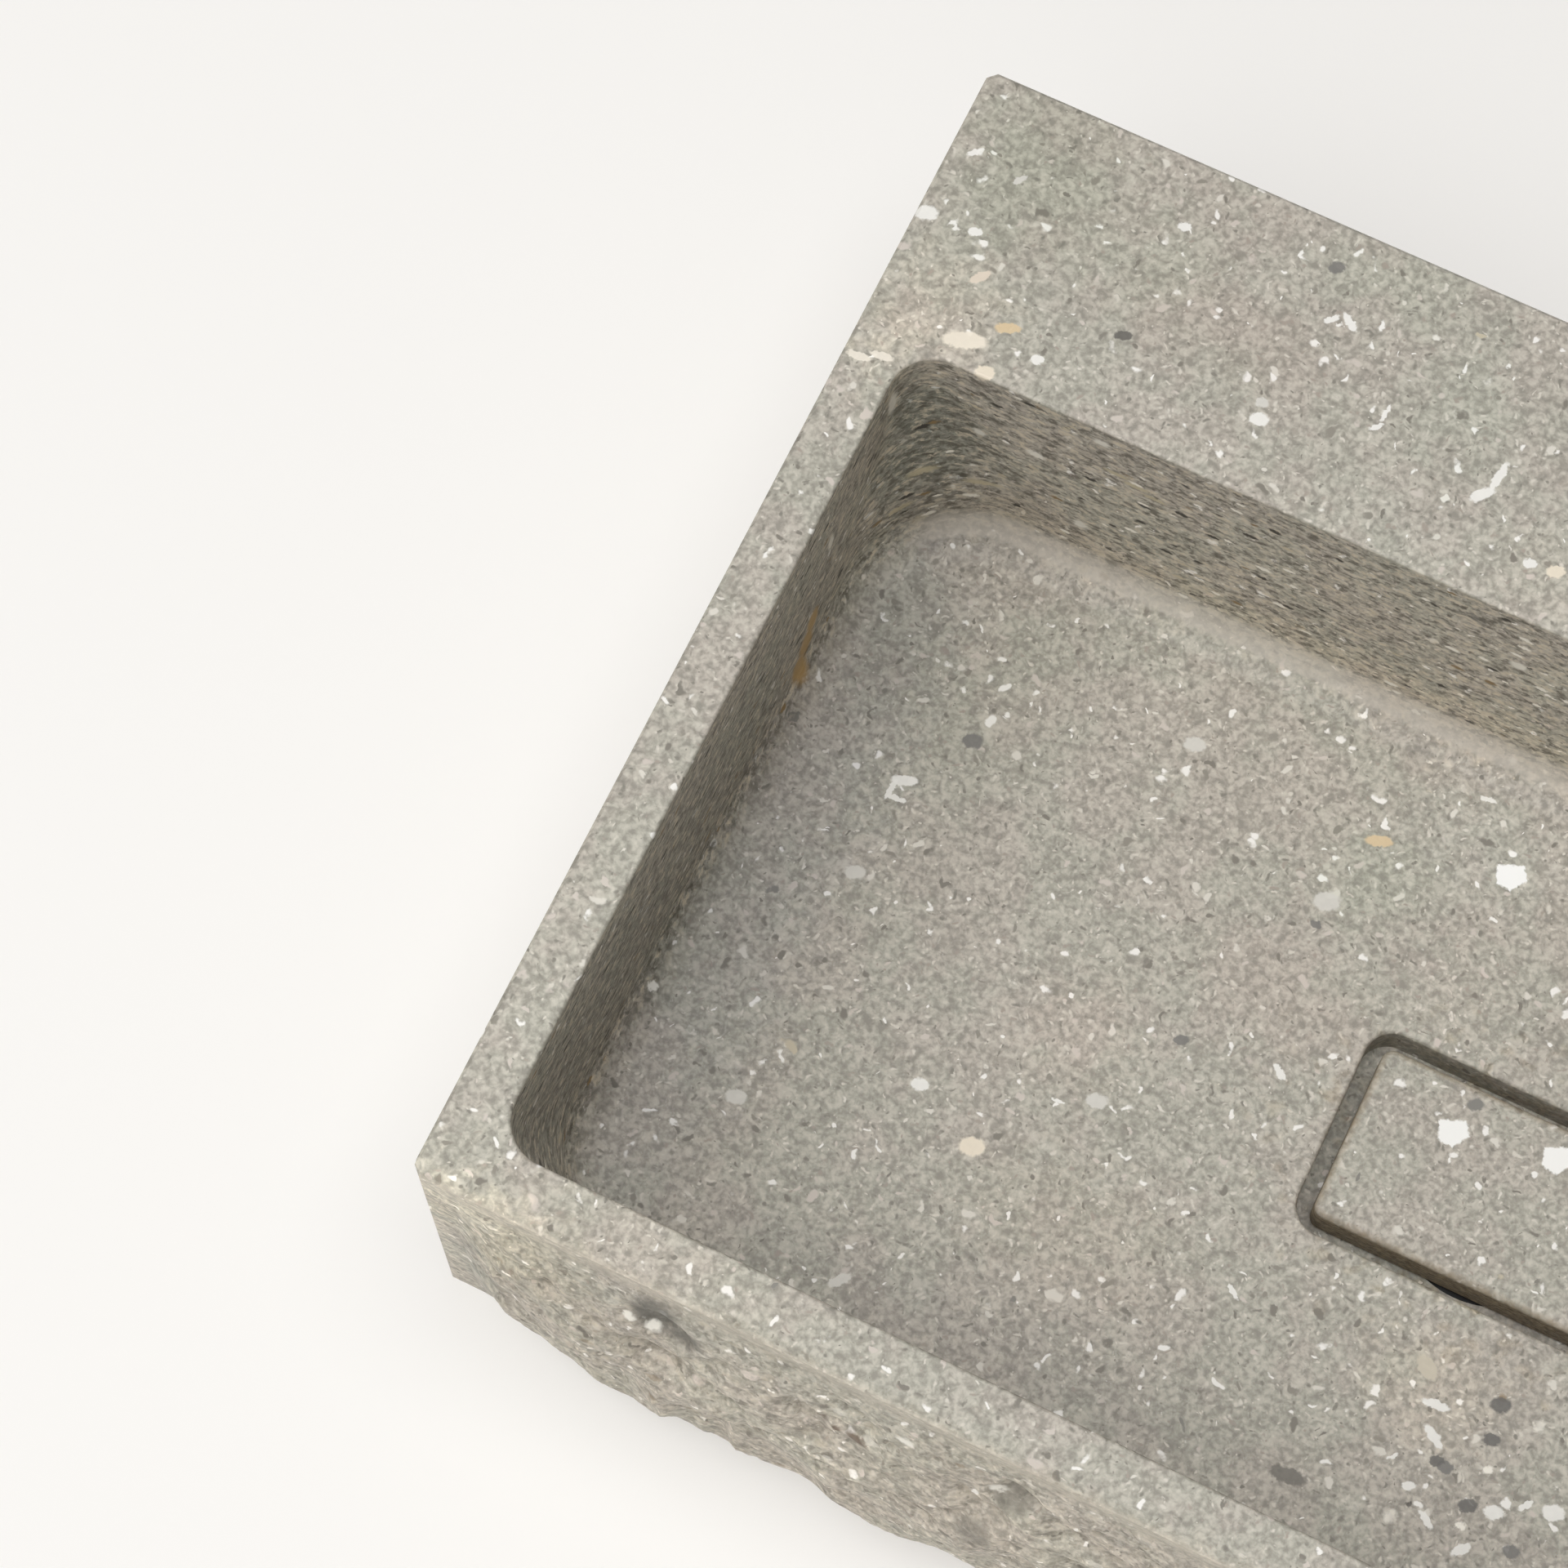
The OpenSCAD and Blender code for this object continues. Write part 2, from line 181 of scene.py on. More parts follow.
# the block, from its underside up, with the larger bevel on the front arris
block = lofted("limestone_basin", [
    (block_w / 2, block_d / 2, corner_chamfer, 0, 0),
    (block_w / 2, block_d / 2, corner_chamfer, 0, block_h - front_bevel),
    (block_w / 2, block_d / 2 - 1 * mm, corner_chamfer, 1 * mm, block_h - edge_bevel),
    (block_w / 2 - edge_bevel, block_d / 2 - 2.5 * mm, corner_chamfer, 1 * mm, block_h),
], 1)


def eased(t):
    t = min(max(t, 0), 1)
    return t * t * (3 - 2 * t)


# the rock face: a fine grid pushed out to the split surface, then joined to the block
face_w, face_h, rock_bulge, rock_side_margin, rock_top_margin = 740, 180, 26, 14, 12
rock_side_rise, rock_top_rise, rock_grid = 62, 108, 1.7
hollow_run, hollow_steepness, hollow_reach, hollow_limit = 352, 7, 90, 60
wander_x, wander_z, wear = 4, 3.5, 1.1
# each hollow: from the left, above the underside, stand-out, half width, half height, in mm
hollows = [
    (40, 84, 10.5, 30, 60), (66, 62, 16, 26, 60), (90, 66, 15.5, 19, 60), (107, 150, 1, 14, 11),
    (106, 128, 10.5, 21, 19), (121, 60, 17.5, 15, 60), (132, 56, 15.5, 9, 60),
    (158, 84, 16.5, 30, 60), (184, 138, 5, 16, 5), (180, 131, 11.5, 30, 22), (199, 84, 20, 30, 60),
    (226, 62, 22, 26, 60), (250, 148, 2.5, 15, 8), (240, 134, 8.5, 16, 16), (262, 92, 18, 28, 56),
    (302, 72, 20, 36, 66), (322, 128, 11.5, 30, 26), (338, 96, 17.5, 34, 58)
]
all_hollows = [
    (x + k * hollow_run, z - 8 * sin(radians(140 * k)), out, half_w, half_h)
    for k in range(4) for x, z, out, half_w, half_h in hollows
]


def rise(t):
    return sin(radians(90 * min(max(t, 0), 1)))


def rock_out(x, z):
    """How far the split surface stands out, in mm, at x from the left and z above the underside."""
    swell = (rock_bulge * rise((x - rock_side_margin) / rock_side_rise)
             * rise((face_w - rock_side_margin - x) / rock_side_rise)
             * rise((face_h - rock_top_margin - z) / rock_top_rise) * eased((z + 22) / 95))
    if swell <= 0:
        return 0
    # the hollows wander, and meet in creases that are a little worn
    stray = noise.noise_vector(Vector((x / 23, 0.4, z / 19)))
    hx, hz = x + wander_x * stray.x, z + wander_z * stray.z
    parts = exp(-wear * swell)
    for middle_x, middle_z, out, half_w, half_h in all_hollows:
        if abs(hx - middle_x) < hollow_reach:
            dish = ((hx - middle_x) / half_w) ** 2 + ((hz - middle_z) / half_h) ** 2
            parts += exp(-wear * min(out + hollow_steepness * dish, hollow_limit))
    out = -log(parts) / wear
    ripple = sin(radians(3.4 * x + 2.5 * z)) + 0.8 * sin(radians(6.4 * x - 4.1 * z + 57))
    lumps = noise.fractal(Vector((x / 15, 3.7, z / 10)), 0.8, 2.1, 5)
    chips = abs(noise.noise(Vector((x / 9, 1.3, z / 5.5))))
    grit = noise.noise(Vector((x / 2.9, 9.1, z / 2.4)))
    # flakes that sprang off leave shallow scoops, most of them in the upper half
    scoops = max(noise.noise(Vector((x / 31 + z / 50, 5.9, z / 18))) - 0.05, 0)
    scoops += 0.4 * max(noise.noise(Vector((x / 12, 2.7, z / 8 - x / 40))) - 0.14, 0)
    upper = eased((z - 50) / 60)
    rough = (0.5 + 0.5 * upper) * (0.9 * lumps - 1.1 * chips) + 0.35 * grit
    rough -= (3 + 8 * upper) * scoops
    return max(out + (ripple + rough) * min(swell / 9, 1), 0)


# without a seed, the way the hollows wander would start from the clock
noise.seed_set(50)
rock_w, rock_h = block_w - 2 * rock_side_margin * mm, block_h - rock_top_margin * mm
bpy.ops.object.select_all(action="DESELECT")
bpy.ops.mesh.primitive_grid_add(
    x_subdivisions=round(rock_w / mm / rock_grid), y_subdivisions=round(rock_h / mm / rock_grid),
    size=2, location=(0, -block_d / 2 + 0.4 * mm, rock_h / 2 + 0.2 * mm),
    rotation=(radians(90), 0, 0))
rock = bpy.context.object
rock.scale = (rock_w / 2, rock_h / 2, 1)
bpy.ops.object.transform_apply()
edit(rock)
bpy.ops.mesh.select_all(action="DESELECT")
bpy.ops.mesh.select_mode(type="EDGE")
bpy.ops.mesh.select_non_manifold()
bpy.ops.mesh.extrude_edges_move(TRANSFORM_OT_translate={"value": (0, 3 * mm, 0)})
bpy.ops.mesh.edge_face_add()
face_outwards()
front_y = -block_d / 2 + 0.5 * mm
for point in rock.data.vertices:
    if point.co.y < front_y:
        out = rock_out((point.co.x + block_w / 2) / mm, point.co.z / mm)
        point.co.y = max(point.co.y - out * mm, cad_low.y + 0.1 * mm)
combined(block, rock, "UNION")

# the trough: a rounded rim, upright walls whose corners widen downwards, and a cove
half_l, half_w = basin_l / 2, basin_w / 2
wall_top, wall_foot, wall_steps = block_h - rim_bevel, floor_z + cove_r, 14
trough_rings = stepped(half_l, half_w, rim_corner_r, basin_y,
                       [(rim_bevel, block_h + 1 * mm)] + rounded(rim_bevel, block_h, 3))
for k in range(1, wall_steps + 1):
    down = k / wall_steps
    corner_r = rim_corner_r + (floor_corner_r - rim_corner_r) * eased(1.15 * down - 0.15)
    z = wall_top + (wall_foot - wall_top) * down
    trough_rings.append((half_l, half_w, corner_r, basin_y, z))
cove = rounded(-cove_r, floor_z, 12)[-2::-1]
trough_rings += stepped(half_l, half_w, floor_corner_r, basin_y, cove)
combined(block, lofted("trough", trough_rings, 20), "DIFFERENCE")

# the recess for the cover, with a worn arris, and the bores for the waste
recess_rings = stepped(recess_l / 2, recess_w / 2, recess_corner_r, drain_y, [
    (recess_bevel, floor_z + 1 * mm), *rounded(recess_bevel, floor_z, 3), (0, ledge_z)])
combined(block, lofted("recess", recess_rings, 12), "DIFFERENCE")
combined(block, turned("waste_bore", [
    (counterbore_r, ledge_z + 1 * mm), (counterbore_r, counterbore_z),
    (stone_hole_r, counterbore_z), (stone_hole_r, pocket_top_z), (pocket_r, pocket_top_z),
    (pocket_r, -1 * mm)
]), "DIFFERENCE")


def smoothed(piece, angle):
    """Smooth shading up to the angle, with flat faces kept flat next to the curves."""
    pick(piece)
    bpy.ops.object.shade_smooth_by_angle(angle=radians(angle))
    modified(piece, "WEIGHTED_NORMAL", keep_sharp=True)


smoothed(block, 34)


def linear(hex_colour):
    """An sRGB hex colour as linear RGBA."""
    parts = [int(hex_colour[i:i + 2], 16) / 255 for i in (1, 3, 5)]
    return [p / 12.92 if p <= 0.04045 else ((p + 0.055) / 1.055) ** 2.4 for p in parts] + [1]


def wire(tree, node, wires):
    """Links inputs of a node to sockets, or gives them plain values."""
    for name, value in wires.items():
        if isinstance(value, bpy.types.NodeSocket):
            tree.links.new(value, node.inputs[name])
        else:
            node.inputs[name].default_value = value


def add(tree, kind, wires=None, out=0, **settings):
    """Adds a node with its settings and links, and gives one of its outputs."""
    node = tree.nodes.new("ShaderNode" + kind)
    for name, value in settings.items():
        setattr(node, name, value)
    wire(tree, node, wires or {})
    return node.outputs[out]


def new_material(name, **values):
    """A material whose shader has these even values, with its tree, shader and own place."""
    material = bpy.data.materials.new(name)
    material.use_nodes = True
    tree = material.node_tree
    shader = tree.nodes["Principled BSDF"]
    wire(tree, shader, {socket.replace("_", " "): value for socket, value in values.items()})
    return material, tree, shader, add(tree, "TexCoord", out="Object")


def coated(tree, under, over, pattern, start=0, full=1, most=1, within=None, soft=False,
           blend="MIX"):
    """Lays a colour over the one under it, from not at all where the pattern is at start to most
    where it is at full. Within keeps it to a zone, and a soft coat has eased edges."""
    share = add(tree, "MapRange", {0: pattern, 1: start, 2: full, 4: most},
                interpolation_type="SMOOTHSTEP" if soft else "LINEAR")
    if within is not None:
        share = add(tree, "Math", {0: share, 1: within}, operation="MULTIPLY")
    over = linear(over) if isinstance(over, str) else over
    return add(tree, "Mix", {"Factor": share, "A": under, "B": over}, out=2,
               data_type="RGBA", blend_type=blend)


def stretched(tree, place, stretch, **settings):
    """A noise with this scale along each axis."""
    place = add(tree, "VectorMath", {0: place, 1: stretch}, operation="MULTIPLY")
    return add(tree, "TexNoise", {"Vector": place, "Scale": 1, **settings})


def surfaced(tree, shader, colour, height, strength, depth, **more):
    """Gives the shader its colour, and a relief of this strength and depth in mm."""
    relief = add(tree, "Bump", {"Strength": strength, "Distance": depth * mm, "Height": height})
    wire(tree, shader, {"Base Color": colour, "Normal": relief, **more})


def zone(tree, spot, *edges, within=None):
    """How far a point is inside a zone with eased edges. An edge is (axis, where it starts, where
    it is full), in mm."""
    for axis, start, full in edges:
        side = add(tree, "MapRange", {0: spot.outputs[axis], 1: start, 2: full},
                   interpolation_type="SMOOTHSTEP")
        if within is not None:
            side = add(tree, "Math", {0: side, 1: within}, operation="MULTIPLY")
        within = side
    return within


def scraps(tree, place, spacing, share, size, thin, edge, palette, under):
    """Lays fossil scraps at random over the colour under them. Spacing and size, a scrap's
    half width, are in mm. Share is how many places hold a scrap, and thin how many times
    thinner than wide a scrap gets. Palette is (share, colour) from the first to the last."""
    cells = add(tree, "VectorMath", {0: place, 1: (1 / spacing,) * 3}, operation="MULTIPLY")
    lattice = add(tree, "TexVoronoi", {"Vector": cells, "Scale": 1}).node
    middle = lattice.outputs["Position"]
    dice = add(tree, "TexWhiteNoise", {"Vector": middle}, out="Color")
    dice = add(tree, "SeparateColor", {0: dice}).node
    offset = add(tree, "VectorMath", {0: cells, 1: middle}, operation="SUBTRACT")
    heading = add(tree, "VectorMath", {0: lattice.outputs["Color"], 1: (0.5, 0.5, 0.5)},
                  operation="SUBTRACT")
    heading = add(tree, "VectorMath", {0: heading}, operation="NORMALIZE")
    across = add(tree, "VectorMath", {0: offset, 1: heading}, out="Value", operation="DOT_PRODUCT")
    reach2 = add(tree, "VectorMath", {0: offset, 1: offset}, out="Value", operation="DOT_PRODUCT")
    across2 = add(tree, "Math", {0: across, 1: across}, operation="MULTIPLY")
    # the square of a scrap's thinness, less one, is its weight on the way through it
    weight = add(tree, "MapRange", {0: dice.outputs[1], 1: 0.4, 3: 0, 4: thin ** 2 - 1})
    span2 = add(tree, "Math", {0: across2, 1: weight, 2: reach2}, operation="MULTIPLY_ADD")
    span = add(tree, "Math", {0: span2}, operation="SQRT")
    width = add(tree, "MapRange", {0: dice.outputs[2], 3: 0.45 * size / spacing,
                                   4: 1.5 * size / spacing})
    fill = add(tree, "Math", {0: span, 1: width}, operation="DIVIDE")
    present = add(tree, "Math", {0: dice.outputs[0], 1: share}, operation="LESS_THAN")
    kind = add(tree, "SeparateColor", {0: lattice.outputs["Color"]})
    colours = add(tree, "ValToRGB", {0: kind}).node
    colours.color_ramp.interpolation = "CONSTANT"
    stops, reached = colours.color_ramp.elements, 0
    for k, (part, colour) in enumerate(palette):
        stop = stops.new(reached) if k else stops[0]
        stop.color = linear(colour)
        reached += part
    stops[-1].color = linear(palette[-1][1])
    return coated(tree, under, colours.outputs[0], fill, 1 + edge, 1 - edge, 1, present, True)


def oval(tree, place, middle, half, turn=0):
    """How far a point is from an oval's middle, in half widths of the oval. Its middle and its
    half widths are in mm, and it is turned about the upright in degrees."""
    if turn:
        place = add(tree, "VectorRotate", {"Vector": place, "Center": middle,
                                           "Angle": radians(-turn)}, rotation_type="Z_AXIS")
    offset = add(tree, "VectorMath", {0: place, 1: middle}, operation="SUBTRACT")
    offset = add(tree, "VectorMath", {0: offset, 1: half}, operation="DIVIDE")
    return add(tree, "VectorMath", {0: offset}, out="Value", operation="LENGTH")


def chip(tree, place, middle, sides):
    """How far, in mm, a point is outside a chip with straight sides, given as (direction in
    degrees, distance from the middle in mm)."""
    offset = add(tree, "VectorMath", {0: place, 1: middle}, operation="SUBTRACT")
    beyond = add(tree, "SeparateXYZ", {0: offset}, out=2)
    beyond = add(tree, "Math", {0: beyond}, operation="ABSOLUTE")
    beyond = add(tree, "Math", {0: beyond, 1: 4}, operation="SUBTRACT")
    for turn, distance in sides:
        way = (cos(radians(turn)), sin(radians(turn)), 0)
        past = add(tree, "VectorMath", {0: offset, 1: way}, out="Value", operation="DOT_PRODUCT")
        past = add(tree, "Math", {0: past, 1: distance}, operation="SUBTRACT")
        beyond = add(tree, "Math", {0: beyond, 1: past}, operation="MAXIMUM")
    return beyond


def limestone(name, cut_from):
    """Fossil limestone, honed: silky, and mottled grey-green and taupe with cream and dark
    fossils. Its pattern starts at cut_from in the bed, in mm. Gives the material, tree, shader,
    the place in mm, two strayed places for listed marks and patches, the colour and the
    grain."""
    material, tree, shader, place = new_material(name, Roughness=0.55, IOR=1.5)
    here = add(tree, "VectorMath", {0: place, 1: (1 / mm,) * 3}, operation="MULTIPLY")
    bed = add(tree, "VectorMath", {0: here, 1: cut_from})
    # scraps have uneven outlines, and the longer ones are bent
    strays = []
    for scale, detail in ((0.5, 2), (0.13, 1)):
        stray = add(tree, "TexNoise", {"Vector": bed, "Scale": scale, "Detail": detail},
                    out="Color")
        strays.append(add(tree, "VectorMath", {0: stray, 1: (0.5,) * 3}, operation="SUBTRACT"))
    wobble, bend = strays
    uneven = add(tree, "VectorMath", {0: wobble, 1: (1.9,) * 3, 2: bed}, operation="MULTIPLY_ADD")
    uneven = add(tree, "VectorMath", {0: bend, 1: (9,) * 3, 2: uneven}, operation="MULTIPLY_ADD")
    ragged = add(tree, "VectorMath", {0: wobble, 1: (2.6,) * 3, 2: here}, operation="MULTIPLY_ADD")
    strayed = add(tree, "VectorMath", {0: bend, 1: (45,) * 3, 2: here}, operation="MULTIPLY_ADD")
    # patches of colour 30 to 60 mm across, grey-green and taupe
    patch = add(tree, "TexNoise", {"Vector": bed, "Scale": 0.022, "Detail": 4, "Roughness": 0.62})
    colour = coated(tree, linear("#B0ADA0"), "#B4ACA1", patch, 0.43, 0.57, soft=True)
    # clouds of darker and lighter stone 5 to 12 mm across
    smoke = add(tree, "TexNoise", {"Vector": uneven, "Scale": 0.11, "Detail": 2, "Roughness": 0.6})
    # a cloudy grain about 2 mm across, with rounded grains in it that are darker where they meet
    cloud = add(tree, "TexNoise", {"Vector": bed, "Scale": 0.34, "Detail": 3, "Roughness": 0.5,
                                   "Distortion": 0.35})
    grains = add(tree, "TexVoronoi", {"Vector": uneven, "Scale": 0.45}, out="Distance")
    grains = add(tree, "MapRange", {0: grains, 1: 0.1, 2: 0.9, 3: 0.72, 4: 0.25})
    grain = add(tree, "Mix", {"Factor": 0.3, "A": cloud, "B": grains}, data_type="FLOAT")
    for tone, pattern, start, full, most in (
            ("#928E82", smoke, 0.5, 0.3, 0.5), ("#C6C0B3", smoke, 0.52, 0.72, 0.5),
            ("#88847A", grain, 0.52, 0.36, 0.78), ("#CFCABD", grain, 0.5, 0.68, 0.8)):
        colour = coated(tree, colour, tone, pattern, start, full, most)
    for spacing, share, size, thin, edge, palette in (
            # crumbs about 2 mm across
            (3.2, 0.72, 0.72, 1.6, 0.55, ((0.35, "#827E74"), (0.2, "#A2988D"), (0.45, "#D3CDC1"))),
            # scraps of shell and stem, 2 to 6 mm
            (6.4, 0.78, 1.4, 2.8, 0.3, ((0.24, "#7C776D"), (0.1, "#8C877C"), (0.18, "#CCC3B9"),
                                        (0.16, "#DAD5CA"), (0.32, "#F3F0EA"))),
            # pebbles and larger fossils, 5 to 10 mm
            (27, 0.38, 2.7, 1.6, 0.18, ((0.5, "#827F78"), (0.3, "#C3B9A2"), (0.2, "#EAE6DC")))):
        colour = scraps(tree, uneven, spacing, share, size, thin, edge, palette, colour)
    return material, tree, shader, here, ragged, strayed, colour, grain


stone, tree, shader, here, ragged, strayed, colour, grain = limestone(
    "honed_fossil_limestone", (0, 0, 0))

# patches of this block, the stone's own tones and some painted light and painted shade: the middle
# and half widths in mm, then the red, green and blue let through
patches_and_painted_light = (1, 1, 1, 1)
for middle, half, let_through in (
        # the top behind the trough: olive at the left, taupe, green, and beige by the corner
        ((-332, 220, 180), (32, 42, 40), (0.91, 0.93, 0.895)),
        ((-280, 200, 180), (26, 22, 30), (0.97, 0.985, 0.965)),
        ((-262, 230, 180), (26, 20, 30), (0.965, 0.953, 0.95)),
        ((-240, 188, 180), (42, 20, 30), (0.965, 0.943, 0.935)),
        ((-190, 236, 180), (26, 18, 30), (0.98, 0.995, 0.98)),
        ((-140, 192, 180), (16, 34, 30), (0.975, 0.995, 0.985)),
        ((-155, 142, 180), (24, 10, 20), (0.975, 0.995, 0.99)),
        ((-85, 150, 180), (24, 16, 20), (1.06, 1.045, 1.04)),
        ((-346, 146, 180), (24, 24, 20), (1.14, 1.115, 1.085)),
        ((-356, 120, 180), (14, 18, 20), (1.17, 1.16, 1.14)),
        ((-360, -165, 180), (16, 70, 20), (1.05, 1.055, 1.05)),
        # the trough's floor: violet-grey along the left end and the front, olive, green and pink
        ((-324, -50, 39), (30, 170, 14), (0.9, 0.91, 0.945)),
        ((-318, 62, 39), (24, 36, 14), (0.87, 0.875, 0.87)),
        ((-268, 62, 39), (28, 40, 14), (0.94, 0.945, 0.93)),
        ((-105, 55, 39), (26, 20, 14), (0.98, 1.01, 0.99)),
        ((-115, -5, 39), (42, 20, 14), (1.02, 1, 0.995)),
        ((-178, -55, 39), (24, 26, 14), (1.06, 1.035, 1.025)),
        ((-48, 22, 39), (20, 24, 14), (1.07, 1.045, 1.05)),
        ((-150, -130, 39), (44, 26, 14), (1.03, 1.005, 0.985)),
        ((-190, -188, 39), (130, 12, 12), (0.9, 0.9, 0.91)),
        ((5, -126, 39), (24, 24, 14), (1.12, 1.1, 1.07)),
        ((-60, 92, 39), (32, 26, 14), (1.05, 1.065, 1.08)),
        ((-334, 118, 39), (18, 16, 10), (0.86, 0.87, 0.9)),
        # painted shade on the trough's left wall, which faces away from the light, and in its back
        # left corner, both a little greener, and the back wall painted paler where light from the
        # front falls on it
        ((-348, -110, 92), (9, 170, 66), (0.62, 0.635, 0.64)),
        ((20, 130, 112), (330, 14, 62), (1.16, 1.15, 1.14)),
        ((-336, 120, 112), (21, 22, 54), (0.56, 0.59, 0.58)),
        # the foot of the back wall and its cove painted paler, as a painted highlight from the
        # light in front; a slightly darker line where the cove meets the floor; a paler strip on
        # the front rim; and the stone's front left corner paler, partly its own tone and partly
        # painted light
        ((0, 132, 60), (346, 16, 17), (1.28, 1.24, 1.19)),
        ((0, 116, 39), (346, 5, 3), (0.93, 0.93, 0.93)),
        ((-336, -252, 152), (34, 12, 44), (1.14, 1.11, 1.05)),
        ((-350, -250, 168), (34, 8, 22), (1.34, 1.34, 1.35)),
        ((-354, -250, 110), (20, 6, 60), (1.14, 1.14, 1.14)),
        ((-290, -238, 180), (80, 12, 12), (1.05, 1.04, 1.02)),
        # two darker patches over hollows of the split face: painted shade
        ((-302, -260, 124), (34, 16, 30), (0.92, 0.915, 0.905)),
        ((-266, -258, 152), (16, 12, 16), (0.84, 0.845, 0.85)),
        # the recess for the cover: its ledge tinted faintly bluish, the cool colour of painted
        # shade under the cover, and its walls painted darker and browner, as painted shade in the
        # recess
        ((0, -45, 18), (78, 50, 1.5), (0.98, 0.995, 1.02)),
        ((0, -45, 28), (90, 60, 7), (0.88, 0.81, 0.7)),
        # the split face, a little paler and warmer
        ((0, -264, 90), (420, 16, 120), (1.09, 1.065, 1.04))):
    patches_and_painted_light = coated(tree, patches_and_painted_light, (*let_through, 1), oval(tree, strayed, middle, half), 1.6, 0.4,
                  soft=True, blend="MULTIPLY")
# the split runs in curved sheets, some darker than others
front = add(tree, "SeparateXYZ", {0: here}, out=1)
front = add(tree, "MapRange", {0: front, 1: -248, 2: -251})  # the margins' plane is at -250
sheets = stretched(tree, strayed, (0.045, 0.06, 0.075), Detail=4, Roughness=0.6, Distortion=0.9)
patches_and_painted_light = coated(tree, patches_and_painted_light, (0.78, 0.775, 0.75, 1), sheets, 0.47, 0.38, 0.75, front, True, "MULTIPLY")
# painted shade in its hollows and a painted highlight on its ridges, darker and paler by how much
# the surface curves in or out
pointiness_for_painted_light = add(tree, "NewGeometry", out="Pointiness")
for let_through, start, full in (((0.66, 0.65, 0.62, 1), 0.497, 0.455),
                                 ((1.28, 1.27, 1.25, 1), 0.503, 0.55)):
    patches_and_painted_light = coated(tree, patches_and_painted_light, let_through, pointiness_for_painted_light, start, full, 0.85, front, blend="MULTIPLY")
colour = add(tree, "Mix", {"Factor": 1, "A": colour, "B": patches_and_painted_light}, out=2,
             data_type="RGBA", blend_type="MULTIPLY")

# upright faces cut through the layers of the bed, which show as dark and cream streaks. They
# are strong on the trough's walls, and faint on the outer faces
spot = add(tree, "SeparateXYZ", {0: ragged}).node
# the trough's zone ends inside the rim round it
trough = zone(tree, spot, (0, -358, -357.9), (0, 358, 357.9), (1, -236, -235.9), (1, 136, 135.9))
wall = zone(tree, spot, (2, 41, 50), within=trough)
outer = add(tree, "MapRange", {0: trough, 3: 0.35, 4: 0})
upright = add(tree, "Math", {0: wall, 1: outer}, operation="ADD")
upright = zone(tree, spot, (2, 179.5, 177), within=upright)
layers = stretched(tree, ragged, (0.17, 0.17, 0.36), Detail=3, Roughness=0.62, Distortion=0.4)
for tone, start, full, most in (("#575146", 0.49, 0.36, 0.8), ("#D9CDB7", 0.52, 0.67, 0.85)):
    colour = coated(tree, colour, tone, layers, start, full, most, upright)
# and its shells lie flat in it, so that they are cut as long dashes. A cluster of them also lies
# on the floor, in front of the cover
flat_lying = add(tree, "VectorMath", {0: ragged, 1: (0.4, 0.4, 0.9)}, operation="MULTIPLY")
dashes = scraps(tree, flat_lying, 5.4, 0.8, 0.95, 1.5, 0.3, (
    (0.34, "#37332D"), (0.14, "#8A7350"), (0.2, "#C9BEA6"), (0.32, "#F4EFE3")), colour)
cluster = oval(tree, strayed, (34, -150, 39), (48, 34, 20))
cluster = add(tree, "MapRange", {0: cluster, 1: 1.5, 2: 0.5}, interpolation_type="SMOOTHSTEP")
dashed = add(tree, "Math", {0: upright, 1: cluster}, operation="MAXIMUM")
colour = coated(tree, colour, dashes, dashed)

# a pale, smooth band painted along the cove at the back: a painted highlight where light from the
# front falls on it
painted_cove_highlight = zone(tree, spot, (2, 59, 50), (2, 41.8, 44), (1, 98, 116), within=trough)
colour = coated(tree, colour, "#D0C9BE", painted_cove_highlight, most=0.62)

# the dressed margin over the split face is rubbed along its length
rubbed = stretched(tree, here, (0.05, 1, 1.1), Detail=3, Roughness=0.6)
beige = coated(tree, linear("#B3AA9B"), "#CFC6B7", rubbed, 0.35, 0.65)
split = zone(tree, spot, (1, -248, -250))
margin = zone(tree, spot, (2, 160, 170), within=split)
colour = coated(tree, colour, beige, margin, most=0.5)

